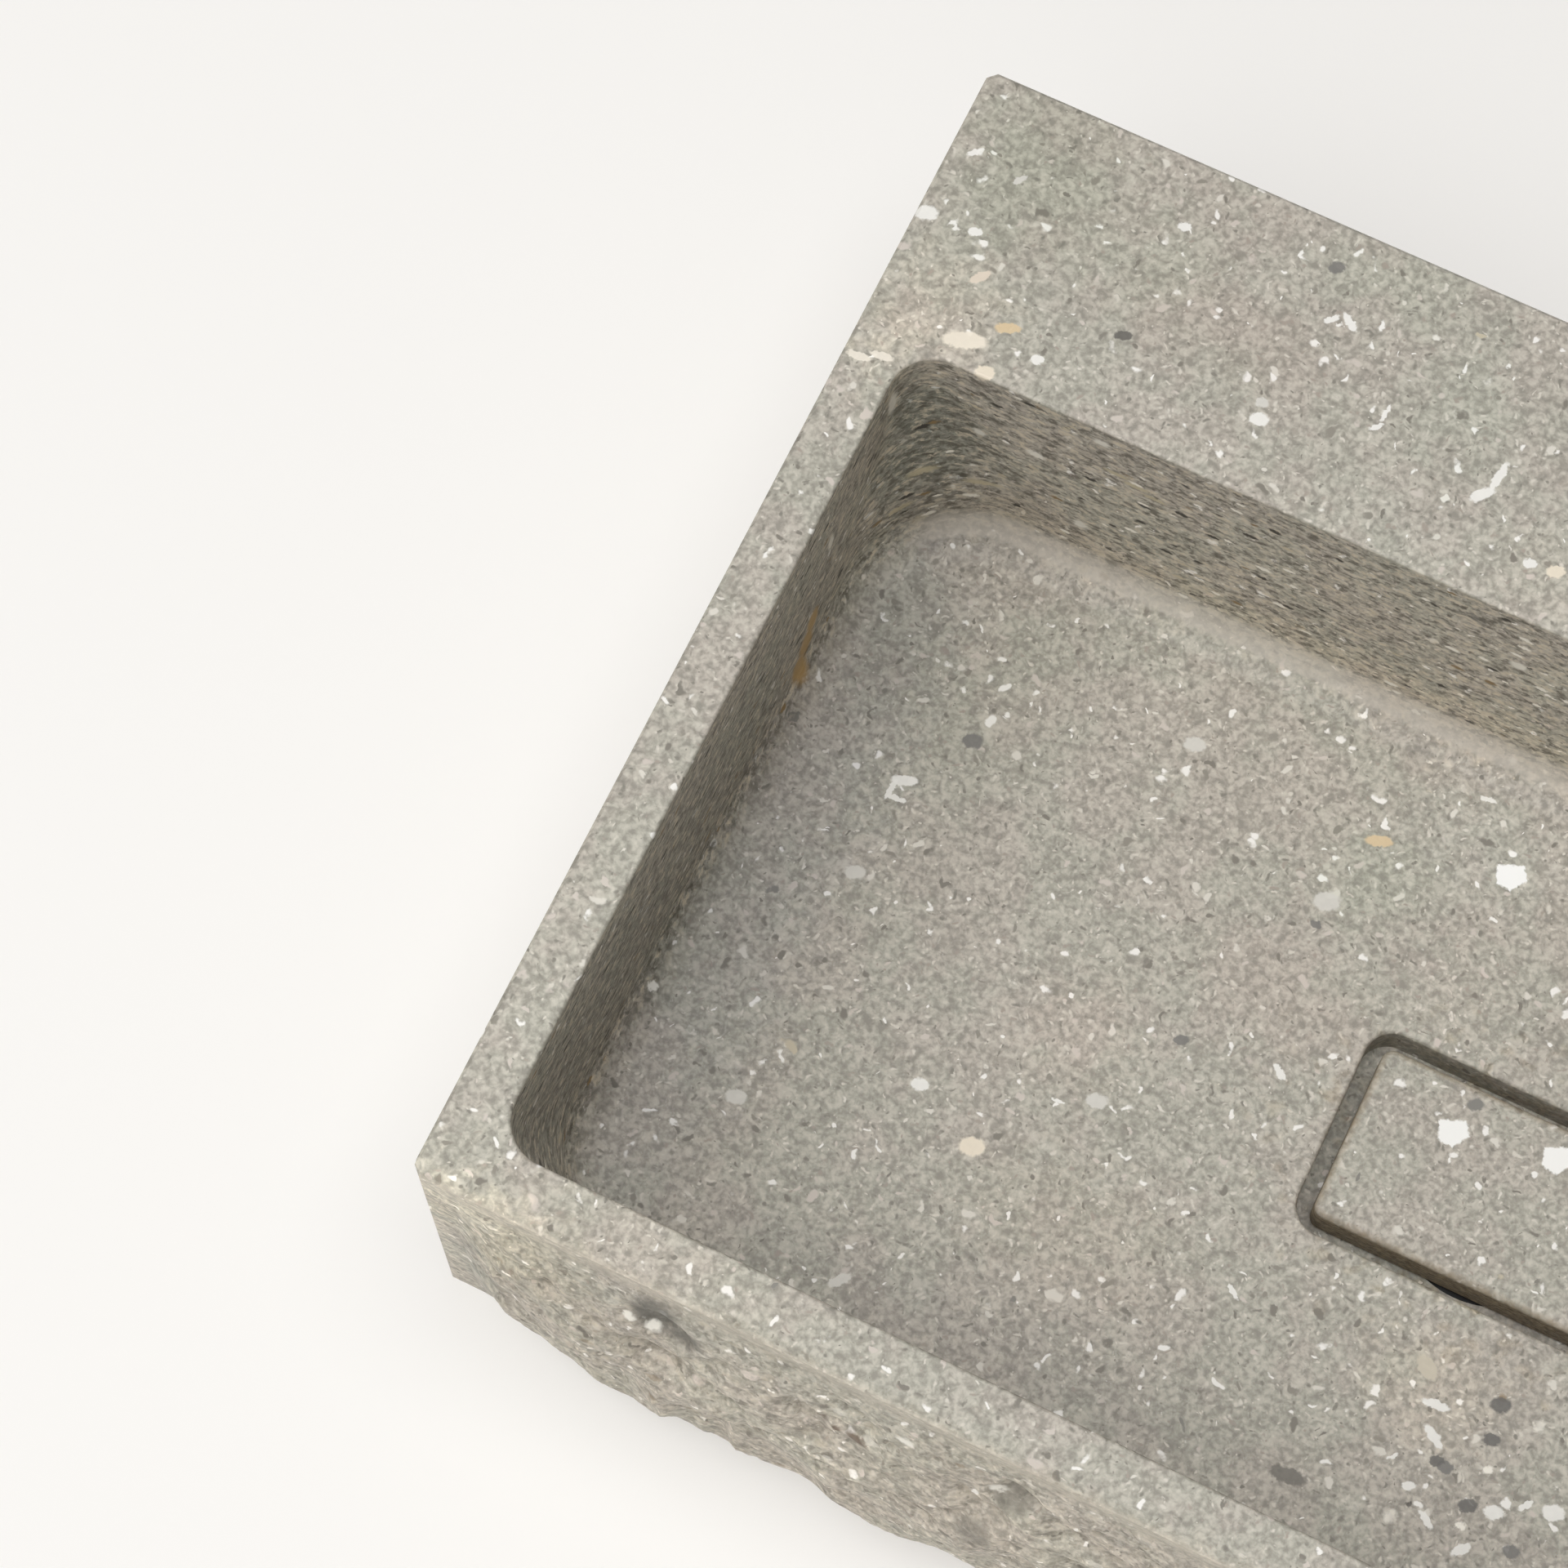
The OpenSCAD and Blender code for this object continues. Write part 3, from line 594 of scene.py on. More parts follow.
# dents, cracks and streaks that don't lie flat, the dark grey in the dents being painted shade:
# each colour, the most that shows of it, and its ovals' middles and half widths
for tone, share, ovals in (
        # the first two colours: painted shade in dents of the split face
        ("#55534B", 0.8, (((-268, -253, 152), (10, 7, 13)), ((-257, -257, 147), (9, 5, 7)))),
        ("#68645A", 0.6, (((-121, -257, 145), (8, 6, 7)), ((-130, -269, 113), (8, 7, 10)))),
        ("#5E4C3D", 0.85, (((-199, -260, 134), (3.8, 4, 2.4)), ((-191, -260, 132), (2.6, 4, 1.8)),
                           ((-183, -259, 132), (4.6, 4, 2.2)))),
        ("#B5945F", 0.9, (((-347, 42, 80), (6, 5, 9)), ((-347, 36, 68), (6, 6, 10)),
                          ((-346, 29, 56), (6, 6, 10)))),
        ("#C6BB9C", 0.8, (((-333, 115, 94), (7, 7, 2.2)), ((-311, 126, 82), (8, 5, 1.8)),
                          ((-338, 105, 72), (5, 7, 2)), ((-256, 128, 145), (5.5, 4, 1.6)),
                          ((-247, 128, 141), (5.5, 4, 1.8)), ((-239, 128, 137), (5, 4, 1.4)))),
        ("#EFEBE0", 0.85, (((-267, 128, 79), (3, 4, 3.4)), ((-264, 128, 168), (3.4, 4, 2.4)),
                           ((-315, 127, 126), (3, 4, 2.4)), ((-290, 128, 129), (4, 4, 2.4)),
                           ((-82, 128, 134), (3.4, 4, 3)), ((-347, 112, 156), (3, 3, 8)),
                           ((-347, 58, 130), (3, 2.6, 6)), ((-268, -256, 143), (3, 3, 2.4)),
                           ((-278, -257, 145), (2.6, 3, 2)), ((-127, -256, 146), (4, 3, 1.6)),
                           ((-165, -255, 152), (3.4, 3, 2))))):
    nearest = 2
    for middle, half in ovals:
        mark = oval(tree, ragged, middle, half)
        nearest = add(tree, "Math", {0: nearest, 1: mark}, operation="MINIMUM")
    colour = coated(tree, colour, tone, nearest, 1.4, 0.6, share, soft=True)

# fossils of this block: for each colour, the turn and the thinness of its ovals, and then each
# one's middle and half length. Ovals that lie alike are measured in the same squeezed space.
deck, low = 180, 39
lays = {}
for tone, turn, thin, ovals in (
        ("#F3F1EB", 20, 1.4, (
            (-272, 221, deck, 2.8), (-212, 159, deck, 3.7), (-94, 150, deck, 2.8),
            (-366, 182, deck, 4.6), (-300, 144, deck, 2.8), (-345, 183, deck, 2.8),
            (-228, -104, low, 3.7), (-343, -116, 43, 3.4), (47, -161, low, 4),
            (68, -151, low, 4.6), (13, -166, low, 2.8))),
        ("#F3F1EB", 20, 2.4, ((-288.7, 9.2, low, 5.6),)),
        ("#F3F1EB", 50, 2.4, ((-170, 176, deck, 3), (-204, 210, deck, 3.2), (-360, 214, deck, 3),
                              (-122, 168, deck, 5.4), (41, -180, low, 4.4), (57, -153, low, 3.4),
                              (3, -158, low, 2.6))),
        ("#F3F1EB", 85, 4, ((-169, 183, deck, 3.8), (-119, 178, deck, 6.8), (-292.3, 3.4, low, 5))),
        ("#F3F1EB", -35, 2.8, ((-197, 212, deck, 4.7), (-100, -36, low, 4), (24, -175, low, 4.4),
                               (14, -144, low, 5.6), (-80, -126, low, 3.4))),
        ("#F3F1EB", 5, 3, ((10, -132, low, 5.6), (-70, 107, low, 3.8), (-175, -86, low, 2.6),
                              (-288.2, 0.8, low, 4))),
        ("#EFE3CE", 20, 1.4, ((-198, -118, low, 5.4), (-84, 151, deck, 3.6), (-316, 130, deck, 4))),
        ("#F2E8D6", 20, 2.4, ((-329, 139, deck, 8.8),)),
        ("#EFE7D8", 5, 3, ((-363, 115, deck, 5.4), (-355, 119, deck, 5))),
        ("#E2D4C2", 50, 2.4, ((-335, 166, deck, 4.6),)),
        ("#DCC59E", 20, 2.4, ((-316, 151, deck, 5.2), (-103, 71, low, 5.8))),
        ("#CBC2AF", -35, 1.6, ((1, -120, low, 5.5),)),
        ("#D6D3CB", 20, 1.4, ((-188, 76, low, 4.6), (-290, -35, low, 4.4), (-292, -141, low, 4.4),
                              (-161, -79, low, 4.4), (-112, 38, low, 5.6), (-214, 166, deck, 2.8))),
        ("#D6D3CB", 50, 2.4, ((-222, -190, low, 5), (-339, 211, deck, 3.2))),
        ("#716F6B", 20, 1.4, ((-211, 231, deck, 3.4), (-271, 37, low, 4.4), (-112, 27, low, 2.4),
                              (-141, -41, low, 3), (23, -153, low, 3.4),
                              (59, -172, low, 3.6))),
        ("#5C5A56", 20, 1.4, ((19, -152, low, 3.2), (35, -135, low, 3.6), (37, -163, low, 4),
                              (33, -121, low, 4.2))),
        ("#6E6A62", 5, 2.4, ((-31, -183, low, 7.6),)),
        ("#585550", 20, 1.8, ((-274, 168, deck, 3.6),))):
    across, up = cos(radians(turn)), sin(radians(turn))
    if (turn, thin) not in lays:
        lay = add(tree, "VectorRotate", {"Vector": ragged, "Angle": radians(-turn)},
                  rotation_type="Z_AXIS")
        lays[turn, thin] = add(tree, "VectorMath", {0: lay, 1: (1, thin, 1)}, operation="MULTIPLY")
    inside = -1
    for x, y, z, half_l in ovals:
        middle = (across * x + up * y, thin * (across * y - up * x), z)
        reach = add(tree, "VectorMath", {0: lays[turn, thin], 1: middle}, out="Value",
                    operation="DISTANCE")
        depth = add(tree, "Math", {0: reach, 1: -1 / half_l, 2: 1}, operation="MULTIPLY_ADD")
        inside = add(tree, "Math", {0: inside, 1: depth}, operation="MAXIMUM")
    colour = coated(tree, colour, tone, inside, -0.17, 0.17, 0.9, soft=True)
# one large white chip, whose edge is 0.7 mm wide
chip_sides = ((112, 4.4), (30, 6.4), (-32, 5.4), (-95, 6), (200, 5.6))
chip_edge = 0.35
colour = coated(tree, colour, "#FCFCFA", chip(tree, ragged, (-49, 81, low), chip_sides),
                chip_edge, -chip_edge)
# the split face is rough to the hand, and the honed ones are not
roughness = add(tree, "MapRange", {0: split, 3: 1, 4: 12})
roughness = add(tree, "Math", {0: grain, 1: roughness}, operation="MULTIPLY")
surfaced(tree, shader, colour, roughness, 0.25, 0.15)

block.data.materials.append(stone)
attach(block, "basin")
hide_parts("stone_basin")


# ---------------------------------------------------------------------------------------------
# The flange seal: a flat ring of black EPDM rubber that lies in the counterbore and takes the
# waste's flange. It is moulded, and its arrises are rounded.

seal_z, seal_top_z, seal_r, seal_bore_r = 13 * mm, 15 * mm, 39.2 * mm, 24.2 * mm


def flat_ring(name, bore_r, outer_r, z, top_z, arris):
    """A flat ring with rounded arrises, made by turning its section once round."""
    section = []
    for corner_r, corner_z, first in (
            (outer_r - arris, z + arris, -90), (outer_r - arris, top_z - arris, 0),
            (bore_r + arris, top_z - arris, 90), (bore_r + arris, z + arris, 180)):
        for k in range(4):
            turn = radians(first + 30 * k)
            section.append((corner_r + arris * cos(turn), corner_z + arris * sin(turn)))
    return turned(name, section, ring=True)


flange_seal = flat_ring("flange_seal_ring", seal_bore_r, seal_r, seal_z, seal_top_z, 0.45 * mm)
smoothed(flange_seal, 40)

# EPDM rubber as it leaves the mould: nearly black, matte, with a fine skin and a grey bloom
rubber, tree, shader, place = new_material("moulded_black_epdm", Roughness=0.62, IOR=1.52)
bloom = add(tree, "TexNoise", {"Vector": place, "Scale": 160, "Detail": 4, "Roughness": 0.6})
colour = coated(tree, linear("#151516"), "#2B2B2B", bloom, 0.4, 0.75)
skin = add(tree, "TexNoise", {"Vector": place, "Scale": 2600, "Detail": 2})
surfaced(tree, shader, colour, skin, 0.3, 0.05)
flange_seal.data.materials.append(rubber)
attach(flange_seal, "basin")
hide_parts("flange_seal")


# ---------------------------------------------------------------------------------------------
# The waste: a flange and a threaded barrel cast in one piece of brass, then turned, polished
# and chrome plated. Three arms across its throat carry a boss for the strainer's screw.

barrel_r, outlet_r, throat_r = 23.9 * mm, 19.5 * mm, 18.25 * mm
outlet_z, shoulder_z, thread_top_z = 0.5 * mm, 10 * mm, 13 * mm
flange_r, flange_z, flange_top_z = 35 * mm, 15 * mm, 17.5 * mm
rebate_r, rebate_z = 29.3 * mm, 16 * mm
boss_r, boss_z, boss_top_z, screw_bore_r = 5 * mm, 10.6 * mm, 15.6 * mm, 2.55 * mm
arm_w, arm_z, arm_top_z = 4 * mm, 11.1 * mm, 15.1 * mm
pipe_pitch, pipe_depth = 2.309 * mm, 1.3 * mm


def levels(z, top_z, pitch):
    """Heights of the rings that a thread needs, eight to a turn, without the two ends."""
    first = ceil(z / pitch * 8 + 0.5)
    last = int(top_z / pitch * 8 - 0.5)
    return [k * pitch / 8 for k in range(first, last + 1)]


def threaded(piece, radius, z, top_z, pitch, depth):
    """Cuts a screw thread into a turned wall: inwards for a positive depth, outwards for a
    negative one. It runs out over the last half turn at each end."""
    for point in piece.data.vertices:
        x, y, height = point.co.x, point.co.y - drain_y, point.co.z
        if abs(hypot(x, y) - radius) < 0.02 * mm and z <= height <= top_z:
            turn = (height / pitch - atan2(y, x) / (2 * pi)) % 1
            groove = min(abs(2 * turn - 1) * 1.25, 1)
            fade = min((height - z) / (0.5 * pitch), (top_z - height) / (0.5 * pitch), 1)
            scale = (radius - depth * groove * fade) / radius
            point.co.x, point.co.y = x * scale, y * scale + drain_y


def spoke(scale, middle, turn, arris=0):
    """A bar with rounded arrises, its middle at (distance from the drain's axis, z), turned
    about that axis by so many degrees."""
    bar = primitive(bpy.ops.mesh.primitive_cube_add, scale, size=1,
                    location=(middle[0], 0, middle[1]))
    if arris:
        edit(bar)
        bpy.ops.mesh.bevel(offset=arris, segments=3, affect="EDGES")
        bpy.ops.object.mode_set(mode="OBJECT")
    bar.rotation_euler.z, bar.location.y = radians(turn), drain_y
    bpy.ops.object.transform_apply()
    return bar


arris, lip = 0.4 * mm, 0.6 * mm
waste = turned("waste_flange_and_barrel", [
    (outlet_r + arris, outlet_z), (barrel_r - 2 * arris, outlet_z),
    (barrel_r, outlet_z + 2 * arris),
    *[(barrel_r, z) for z in levels(outlet_z + 2 * arris, thread_top_z, pipe_pitch)],
    (barrel_r, thread_top_z), (barrel_r, flange_z - arris), (barrel_r + arris, flange_z),
    (flange_r - arris, flange_z), (flange_r, flange_z + arris), (flange_r, flange_top_z - 1.2 * mm),
    (flange_r - 0.25 * mm, flange_top_z - 0.55 * mm),
    (flange_r - 0.8 * mm, flange_top_z - 0.15 * mm),
    (flange_r - 1.5 * mm, flange_top_z), (rebate_r + arris, flange_top_z),
    (rebate_r, flange_top_z - arris), (rebate_r, rebate_z), (throat_r + lip, rebate_z),
    (throat_r + 0.2 * lip, rebate_z - 0.2 * lip), (throat_r, rebate_z - lip),
    (throat_r, shoulder_z + arris), (throat_r + arris, shoulder_z), (outlet_r, shoulder_z),
    *[(outlet_r, z) for z in levels(outlet_z + 2 * arris, shoulder_z - arris, pipe_pitch)[::-1]],
    (outlet_r, outlet_z + arris)
], ring=True)
threaded(waste, barrel_r, outlet_z + 2 * arris, thread_top_z, pipe_pitch, pipe_depth)
threaded(waste, outlet_r, outlet_z + arris, shoulder_z - arris, pipe_pitch, -pipe_depth)
boss = turned("boss", [
    (screw_bore_r + arris, boss_z), (boss_r - lip, boss_z), (boss_r, boss_z + lip),
    (boss_r, boss_top_z - lip), (boss_r - lip, boss_top_z), (screw_bore_r + arris, boss_top_z),
    (screw_bore_r, boss_top_z - arris), (screw_bore_r, boss_z + arris)
], 64, ring=True)
combined(waste, boss, "UNION")
for turn in (30, 150, 270):
    arm = spoke((throat_r - boss_r + 2 * mm, arm_w, arm_top_z - arm_z),
                ((boss_r + throat_r) / 2, (arm_z + arm_top_z) / 2), turn, 0.9 * mm)
    combined(waste, arm, "UNION")
smoothed(waste, 32)

# chromium over polished brass: bright and a little blue, with faint rub marks and water spots
chrome, tree, shader, place = new_material("polished_chrome_plate", Metallic=1)
rub = add(tree, "TexNoise", {"Vector": place, "Scale": 90, "Detail": 5, "Roughness": 0.65})
spots = add(tree, "TexNoise", {"Vector": place, "Scale": 420, "Detail": 2})
colour = coated(tree, linear("#C6C9CC"), "#A9ABA8", spots, 0.62, 0.74, 0.6)
gloss = add(tree, "MapRange", {0: rub, 1: 0.35, 2: 0.75, 3: 0.07, 4: 0.24})
surfaced(tree, shader, colour, rub, 0.15, 0.02, Roughness=gloss)
waste.data.materials.append(chrome)
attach(waste, "basin")
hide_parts("waste_body")


# ---------------------------------------------------------------------------------------------
# Under the stone: a rubber ring, a nylon slip ring and a brass ring nut, in a pocket that keeps
# them above the surface the sink stands on. The nut is turned with a pin spanner.

nut_r, nut_z, nut_top_z, slip_top_z, lower_seal_top_z = 33 * mm, 0.5 * mm, 4 * mm, 5 * mm, 6.5 * mm
nut_bore_r, loose_bore_r, notch_w, notch_depth = 23.95 * mm, 24.2 * mm, 6 * mm, 4 * mm

lower_seal = flat_ring("lower_seal_ring", loose_bore_r, nut_r, slip_top_z, lower_seal_top_z,
                       0.4 * mm)
smoothed(lower_seal, 40)
lower_seal.data.materials.append(rubber)
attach(lower_seal, "basin")
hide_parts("lower_seal")

slip_washer = flat_ring("nylon_slip_ring", loose_bore_r, nut_r, nut_top_z, slip_top_z, 0.25 * mm)
smoothed(slip_washer, 40)

# natural nylon 6: milky white and slightly translucent, with the soft gloss of the mould
nylon, tree, shader, place = new_material(
    "moulded_natural_nylon", Roughness=0.42, IOR=1.53, Subsurface_Weight=0.15,
    Subsurface_Radius=(1.2 * mm, 1.1 * mm, 0.9 * mm))
flow = add(tree, "TexNoise", {"Vector": place, "Scale": 120, "Detail": 3})
colour = coated(tree, linear("#E9E6DC"), "#DDD9CC", flow, 0.35, 0.7)
surfaced(tree, shader, colour, flow, 0.2, 0.03)
slip_washer.data.materials.append(nylon)
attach(slip_washer, "basin")
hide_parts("slip_washer")

arris = 0.5 * mm
ring_nut = turned("brass_ring_nut", [
    (nut_bore_r + 2 * arris, nut_z), (nut_r - arris, nut_z), (nut_r, nut_z + arris),
    (nut_r, nut_top_z - arris), (nut_r - arris, nut_top_z), (nut_bore_r + arris, nut_top_z),
    (nut_bore_r, nut_top_z - arris),
    *[(nut_bore_r, z) for z in levels(nut_z + 2 * arris, nut_top_z - arris, pipe_pitch)[::-1]],
    (nut_bore_r, nut_z + 2 * arris)
], ring=True)
threaded(ring_nut, nut_bore_r, nut_z + 2 * arris, nut_top_z - arris, pipe_pitch, pipe_depth)
for turn in (45, 135, 225, 315):
    notch = spoke((notch_depth + 2 * mm, notch_w, 2 * nut_top_z),
                  (nut_r - notch_depth / 2 + 1 * mm, (nut_z + nut_top_z) / 2), turn, 0.8 * mm)
    combined(ring_nut, notch, "DIFFERENCE")
smoothed(ring_nut, 32)

# raw turned brass: yellow, with the tool's fine rings and a brownish tarnish from handling
brass, tree, shader, place = new_material("turned_raw_brass", Metallic=1)
off_axis = add(tree, "VectorMath", {0: place, 1: (1, 1, 0), 2: (0, -drain_y, 0)},
               operation="MULTIPLY_ADD")
radius = add(tree, "VectorMath", {0: off_axis}, out="Value", operation="LENGTH")
rings = add(tree, "Math", {0: radius, 1: 5200}, operation="MULTIPLY")
rings = add(tree, "TexNoise", {"W": rings, "Scale": 1}, noise_dimensions="1D")
tarnish = add(tree, "TexNoise", {"Vector": place, "Scale": 75, "Detail": 5, "Roughness": 0.6})
colour = coated(tree, linear("#D3B26B"), "#94733F", tarnish, 0.45, 0.72, 0.75)
gloss = add(tree, "MapRange", {0: tarnish, 1: 0.35, 2: 0.75, 3: 0.22, 4: 0.5})
surfaced(tree, shader, colour, rings, 0.35, 0.03, Roughness=gloss)
ring_nut.data.materials.append(brass)
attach(ring_nut, "basin")
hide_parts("ring_nut")


# ---------------------------------------------------------------------------------------------
# The strainer: a punched disc of stainless steel in the flange's rebate, held down by one
# slotted stainless screw. Its face is brushed in rings, and its holes are deburred.

plate_r, plate_z, plate_top_z, plate_bore_r = 29 * mm, 16 * mm, 17.5 * mm, 2.8 * mm
plate_holes, plate_hole_r, plate_ring_r = 9, 3.75 * mm, 12.625 * mm
screw_r, screw_pitch, screw_depth = 2.5 * mm, 0.8 * mm, 0.45 * mm
head_r, head_t, head_edge, slot_w = 4.75 * mm, 1.6 * mm, 0.55 * mm, 1.2 * mm

plate = flat_ring("strainer_disc", plate_bore_r, plate_r, plate_z, plate_top_z, 0.25 * mm)
for k in range(plate_holes):
    turn = 2 * pi * (k + 0.5) / plate_holes
    punch = primitive(
        bpy.ops.mesh.primitive_cylinder_add, vertices=48, radius=plate_hole_r, depth=4 * mm,
        location=(plate_ring_r * cos(turn), drain_y + plate_ring_r * sin(turn), plate_z))
    combined(plate, punch, "DIFFERENCE")
# the holes' edges are deburred
modified(plate, "BEVEL", width=0.25 * mm, segments=2, limit_method="ANGLE",
         angle_limit=radians(60))
smoothed(plate, 40)

# stainless steel 1.4301 brushed in rings: grey and satin, with fine bright scratches
steel, tree, shader, place = new_material("ring_brushed_stainless_steel", Metallic=1)
off_axis = add(tree, "VectorMath", {0: place, 1: (1, 1, 0), 2: (0, -drain_y, 0)},
               operation="MULTIPLY_ADD")
radius = add(tree, "VectorMath", {0: off_axis}, out="Value", operation="LENGTH")
# a scratch is about 0.2 mm wide and several millimetres long
turns = add(tree, "VectorMath", {0: off_axis}, operation="NORMALIZE")
turns = add(tree, "VectorMath", {0: turns, 1: (3, 3, 3)}, operation="MULTIPLY")
rings = add(tree, "Math", {0: radius, 1: 5000}, operation="MULTIPLY")
rings = add(tree, "TexNoise", {"Vector": turns, "W": rings, "Scale": 1, "Detail": 2},
            noise_dimensions="4D")
colour = coated(tree, linear("#A6A7A6"), "#C4C4C1", rings)
gloss = add(tree, "MapRange", {0: rings, 1: 0.3, 2: 0.7, 3: 0.22, 4: 0.4})
surfaced(tree, shader, colour, rings, 0.3, 0.02, Roughness=gloss)
plate.data.materials.append(steel)
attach(plate, "basin")
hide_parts("strainer_plate")

# a fine machine thread under a slotted head with a low crown
arris = 0.4 * mm
crown = [radians(11 * k) for k in range(8)]
crown_lean = radians(8)
screw = turned("strainer_screw_slotted", [
    (screw_r - arris, boss_z), (screw_r, boss_z + arris),
    *[(screw_r, z) for z in levels(boss_z + arris, plate_z, screw_pitch)],
    (screw_r, plate_z), (screw_r, plate_top_z), (head_r - 0.2 * mm, plate_top_z),
    (head_r, plate_top_z + 0.2 * mm),
    *[(head_r * cos(crown_lean + t) / cos(crown_lean),
       plate_top_z + head_edge + (head_t - head_edge) * sin(t) / sin(crown[-1]))
      for t in crown]
], 64)
threaded(screw, screw_r, boss_z + arris, plate_z, screw_pitch, screw_depth)
combined(screw, spoke((3 * head_r, slot_w, head_t), (0, plate_top_z + head_t), 0), "DIFFERENCE")
smoothed(screw, 34)
screw.data.materials.append(steel)
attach(screw, "basin")
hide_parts("strainer_screw")


# ---------------------------------------------------------------------------------------------
# The drain cover: a loose plate of the same stone, sawn from a 20 mm slab. Its top arris is
# rounded over by hand and left rough.

cover_half_l, cover_half_w, cover_corner_r = 65.5 * mm, 38 * mm, 5 * mm
cover_z, cover_t, cover_bevel = 20 * mm, 20 * mm, 3 * mm
cover_rings = stepped(cover_half_l, cover_half_w, cover_corner_r, drain_y, [
    (-0.6 * mm, cover_z), (0, cover_z + 0.6 * mm),
    *[(-out, z) for out, z in rounded(cover_bevel, cover_z + cover_t, 5)[::-1]]])
cover = lofted("stone_drain_cover", cover_rings, 8)
smoothed(cover, 34)

# the same limestone from elsewhere in the bed: its sides and its rough arris are browner
offcut, tree, shader, here, ragged, strayed, colour, grain = limestone(
    "limestone_offcut", (412, 130, 57))
spot = add(tree, "SeparateXYZ", {0: ragged}).node
arris = 0
for axis, middle, start, full in ((0, 0, 62, 65.5), (1, -45, 34.5, 38)):
    edge = add(tree, "Math", {0: spot.outputs[axis], 1: middle}, operation="SUBTRACT")
    edge = add(tree, "Math", {0: edge}, operation="ABSOLUTE")
    edge = add(tree, "MapRange", {0: edge, 1: start, 2: full})
    arris = add(tree, "Math", {0: arris, 1: edge}, operation="MAXIMUM")
fret = add(tree, "TexNoise", {"Vector": here, "Scale": 0.35, "Detail": 3, "Roughness": 0.7})
fret = add(tree, "MapRange", {0: fret, 1: 0.35, 2: 0.65, 3: 0.25, 4: 0.85})
arris = add(tree, "Math", {0: arris, 1: fret}, operation="MULTIPLY")
colour = coated(tree, colour, "#A3937C", arris)
streaks = stretched(tree, here, (0.3, 0.3, 0.7), Detail=3, Roughness=0.7)
brown = coated(tree, linear("#4B4031"), "#B09E80", streaks, 0.38, 0.62)
colour = coated(tree, colour, brown, spot.outputs[2], 38.5, 36, 0.8)
# two white chips, and a grey one next to them
grey_chip = oval(tree, ragged, (-24, -14, 40), (3.6, 2.6, 4), 30)
colour = coated(tree, colour, "#7E7C76", grey_chip, 1.2, 0.8, soft=True)
for middle in ((-28, -28, 40), (14, -20, 40)):
    colour = coated(tree, colour, "#FAF9F5", chip(tree, ragged, middle, chip_sides),
                    chip_edge, -chip_edge)
worn = add(tree, "MapRange", {0: arris, 3: 1, 4: 6})
worn = add(tree, "Math", {0: grain, 1: worn}, operation="MULTIPLY")
surfaced(tree, shader, colour, worn, 0.25, 0.15)
cover.data.materials.append(offcut)
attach(cover, "cover")
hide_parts("drain_cover")


# ---------------------------------------------------------------------------------------------
# The cover's pads: four self-adhesive bumpers of clear silicone under its corners. They hold
# the cover off the ledge so that water runs away under it.

pad_r, pad_inset, pad_t, pad_edge, pad_top = 5 * mm, 9 * mm, 2 * mm, 0.35 * mm, 0.3 * mm
pad_turns = [radians(t) for t in range(0, 91, 10)]
pad_profile = [(pad_r * sin(t) + pad_top * cos(t),
                cover_z - pad_edge - (pad_t - pad_edge) * cos(t)) for t in pad_turns]
pads = []
for side, end in ((-1, -1), (1, -1), (1, 1), (-1, 1)):
    pad = turned("pad", pad_profile + [(pad_r, cover_z)], 48)
    pad.location = (side * (cover_half_l - pad_inset), end * (cover_half_w - pad_inset), 0)
    bpy.ops.object.transform_apply()
    pads.append(pad)
cover_pads = joined(pads, "clear_bumper_pads")
smoothed(cover_pads, 40)

# cast silicone: clear, a little milky where dust sticks to it, and soft in its gloss
silicone, tree, shader, place = new_material("clear_cast_silicone", IOR=1.41,
                                             Transmission_Weight=0.85)
dust = add(tree, "TexNoise", {"Vector": place, "Scale": 700, "Detail": 3})
colour = coated(tree, linear("#F1F2EF"), "#D5D4CD", dust, 0.4, 0.8)
gloss = add(tree, "MapRange", {0: dust, 1: 0.4, 2: 0.8, 3: 0.15, 4: 0.4})
wire(tree, shader, {"Base Color": colour, "Roughness": gloss})
cover_pads.data.materials.append(silicone)
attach(cover_pads, "cover")
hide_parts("cover_pads")


# ---------------------------------------------------------------------------------------------
# The surroundings: a pale studio floor that keeps the sink's shadow, three large soft lamps,
# and even light from all round.

# the sink's underside stands a hair through the floor, and the floor is open under the waste,
# so that both can be seen from below
opening_r, floor_lift, floor_spread = pocket_r + 2 * mm, 0.2 * mm, 400
floor = primitive(bpy.ops.mesh.primitive_circle_add, vertices=96, radius=opening_r,
                  fill_type="NOTHING", location=(0, drain_y, floor_lift))
floor.name = "studio_floor"
edit(floor)
bpy.ops.mesh.extrude_edges_move(TRANSFORM_OT_translate={"value": (0, 0, 0)})
bpy.ops.transform.resize(value=(floor_spread, floor_spread, 1),
                         center_override=(0, drain_y, floor_lift))
face_outwards()
if floor.data.polygons[0].normal.z < 0:
    floor.data.flip_normals()
floor_paint, tree, shader, place = new_material(
    "pale_studio_floor", Roughness=0.9, Base_Color=linear("#FAF8F4"), Specular_IOR_Level=0.1)
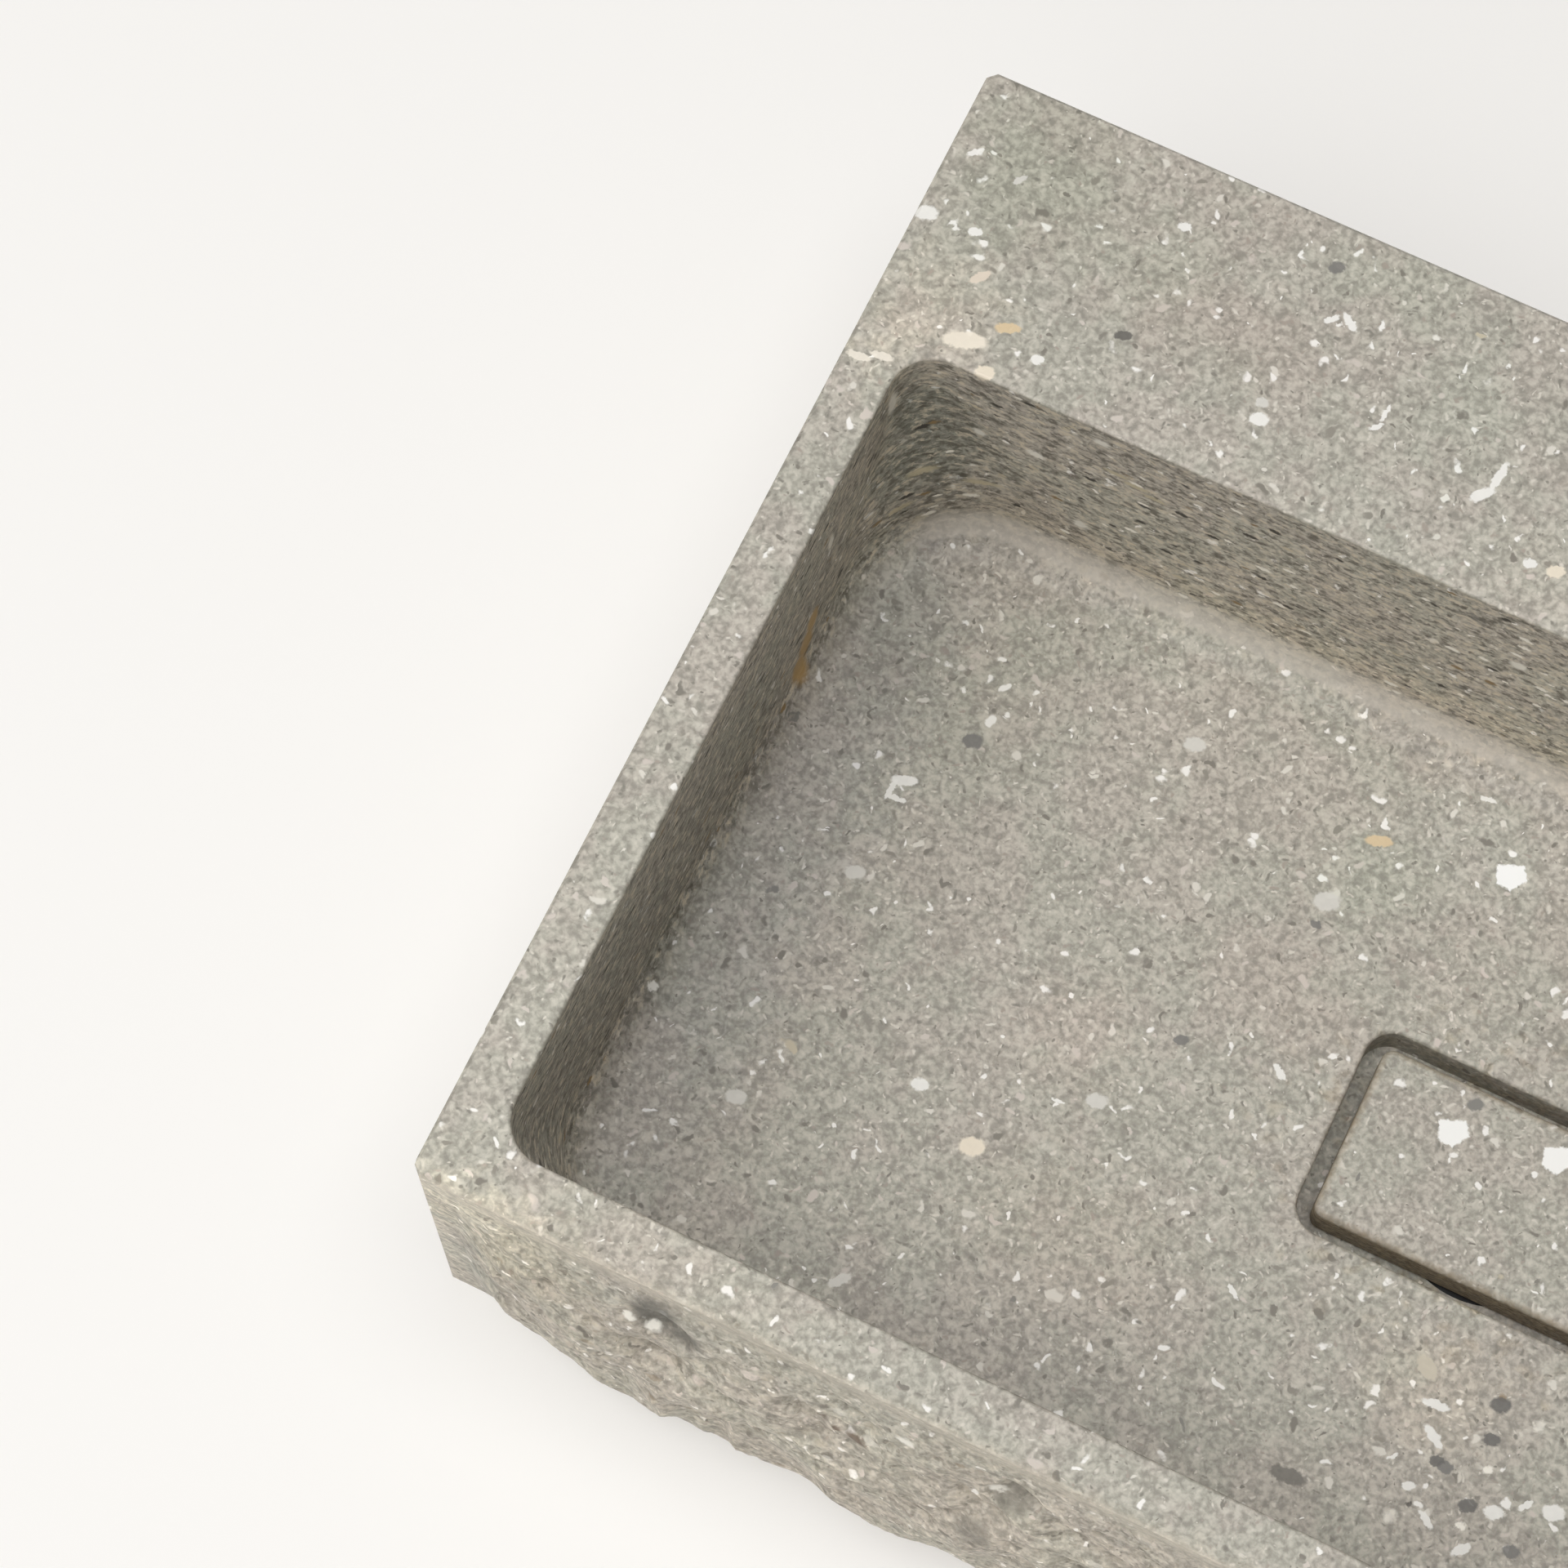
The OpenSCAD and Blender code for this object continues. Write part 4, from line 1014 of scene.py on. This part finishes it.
# to the camera, and in metal and glass, the shadow on it is a third less deep, and from 1.1 to
# 4.2 m from the sink it passes into the air
paleness, least_glow = 0.97, 0.36
ray = add(tree, "LightPath").node
seen = add(tree, "Math", {0: ray.outputs["Is Camera Ray"], 1: ray.outputs["Is Glossy Ray"]},
           operation="MAXIMUM")
seen = add(tree, "Math", {0: seen, 1: ray.outputs["Is Transmission Ray"]}, operation="MAXIMUM")
away = add(tree, "VectorMath", {0: place}, out="Value", operation="LENGTH")
away = add(tree, "MapRange", {0: away, 1: 1.1, 2: 4.2, 3: least_glow, 4: 1},
           interpolation_type="SMOOTHSTEP")
seen = add(tree, "Math", {0: seen, 1: away}, operation="MULTIPLY")
glow = add(tree, "Emission", {"Color": linear("#FFFDFB"), "Strength": paleness})
glow = add(tree, "MixShader", {0: seen, 1: shader.outputs[0], 2: glow})
wire(tree, tree.nodes["Material Output"], {"Surface": glow})
floor.data.materials.append(floor_paint)
floor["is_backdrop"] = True

world = bpy.data.worlds.new("studio_air")
bpy.context.scene.world = world
world.use_nodes = True
tree = world.node_tree
air = tree.nodes["Background"]
# the air gives a faint light, and looks pale to the camera and in metal and glass, but dark
# straight down, through the waste
air_light, dark_below = 0.18, 0.02
ray = add(tree, "LightPath").node
upward = add(tree, "TexCoord", out="Generated")
upward = add(tree, "SeparateXYZ", {0: upward}, out=2)
sky = add(tree, "MapRange", {0: upward, 1: -0.5, 2: -0.3, 3: dark_below, 4: paleness})
seen = add(tree, "Math", {0: ray.outputs["Is Glossy Ray"], 1: ray.outputs["Is Transmission Ray"]},
           operation="MAXIMUM")
seen = add(tree, "MapRange", {0: seen, 3: air_light, 4: paleness})
strength = add(tree, "Mix", {"Factor": ray.outputs["Is Camera Ray"], "A": seen, "B": sky})
wire(tree, air, {"Color": linear("#FFFDFB"), "Strength": strength})

# lamps: overhead, from the front left, and low from the front: (place, width, watts)
for name, place, width, watts in (("overhead_softbox", (0, 0, 4.1), 2.4, 66),
                                  ("front_left_softbox", (-1.83, -1.38, 3.4), 3.0, 72),
                                  ("front_fill", (0, -3.76, 1.45), 2.0, 25)):
    bpy.ops.object.light_add(type="AREA", location=place)
    lamp = bpy.context.object
    lamp.name = name
    lamp.data.shape, lamp.data.size, lamp.data.energy = "DISK", width, watts
    lamp.rotation_euler = (Vector((0, 0, 0.1)) - lamp.location).to_track_quat("-Z", "Y").to_euler()

bpy.ops.object.camera_add(location=(-0.08235, -0.52595, 1.7642),
                          rotation=(radians(18.2832), 0, radians(26.0456)))
camera = bpy.context.object
camera.data.sensor_width, camera.data.lens = 36, 101.57
camera.data.clip_start, camera.data.clip_end = 0.1, 50
bpy.context.scene.camera = camera
bpy.context.scene.view_settings.view_transform = "Standard"

low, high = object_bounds()
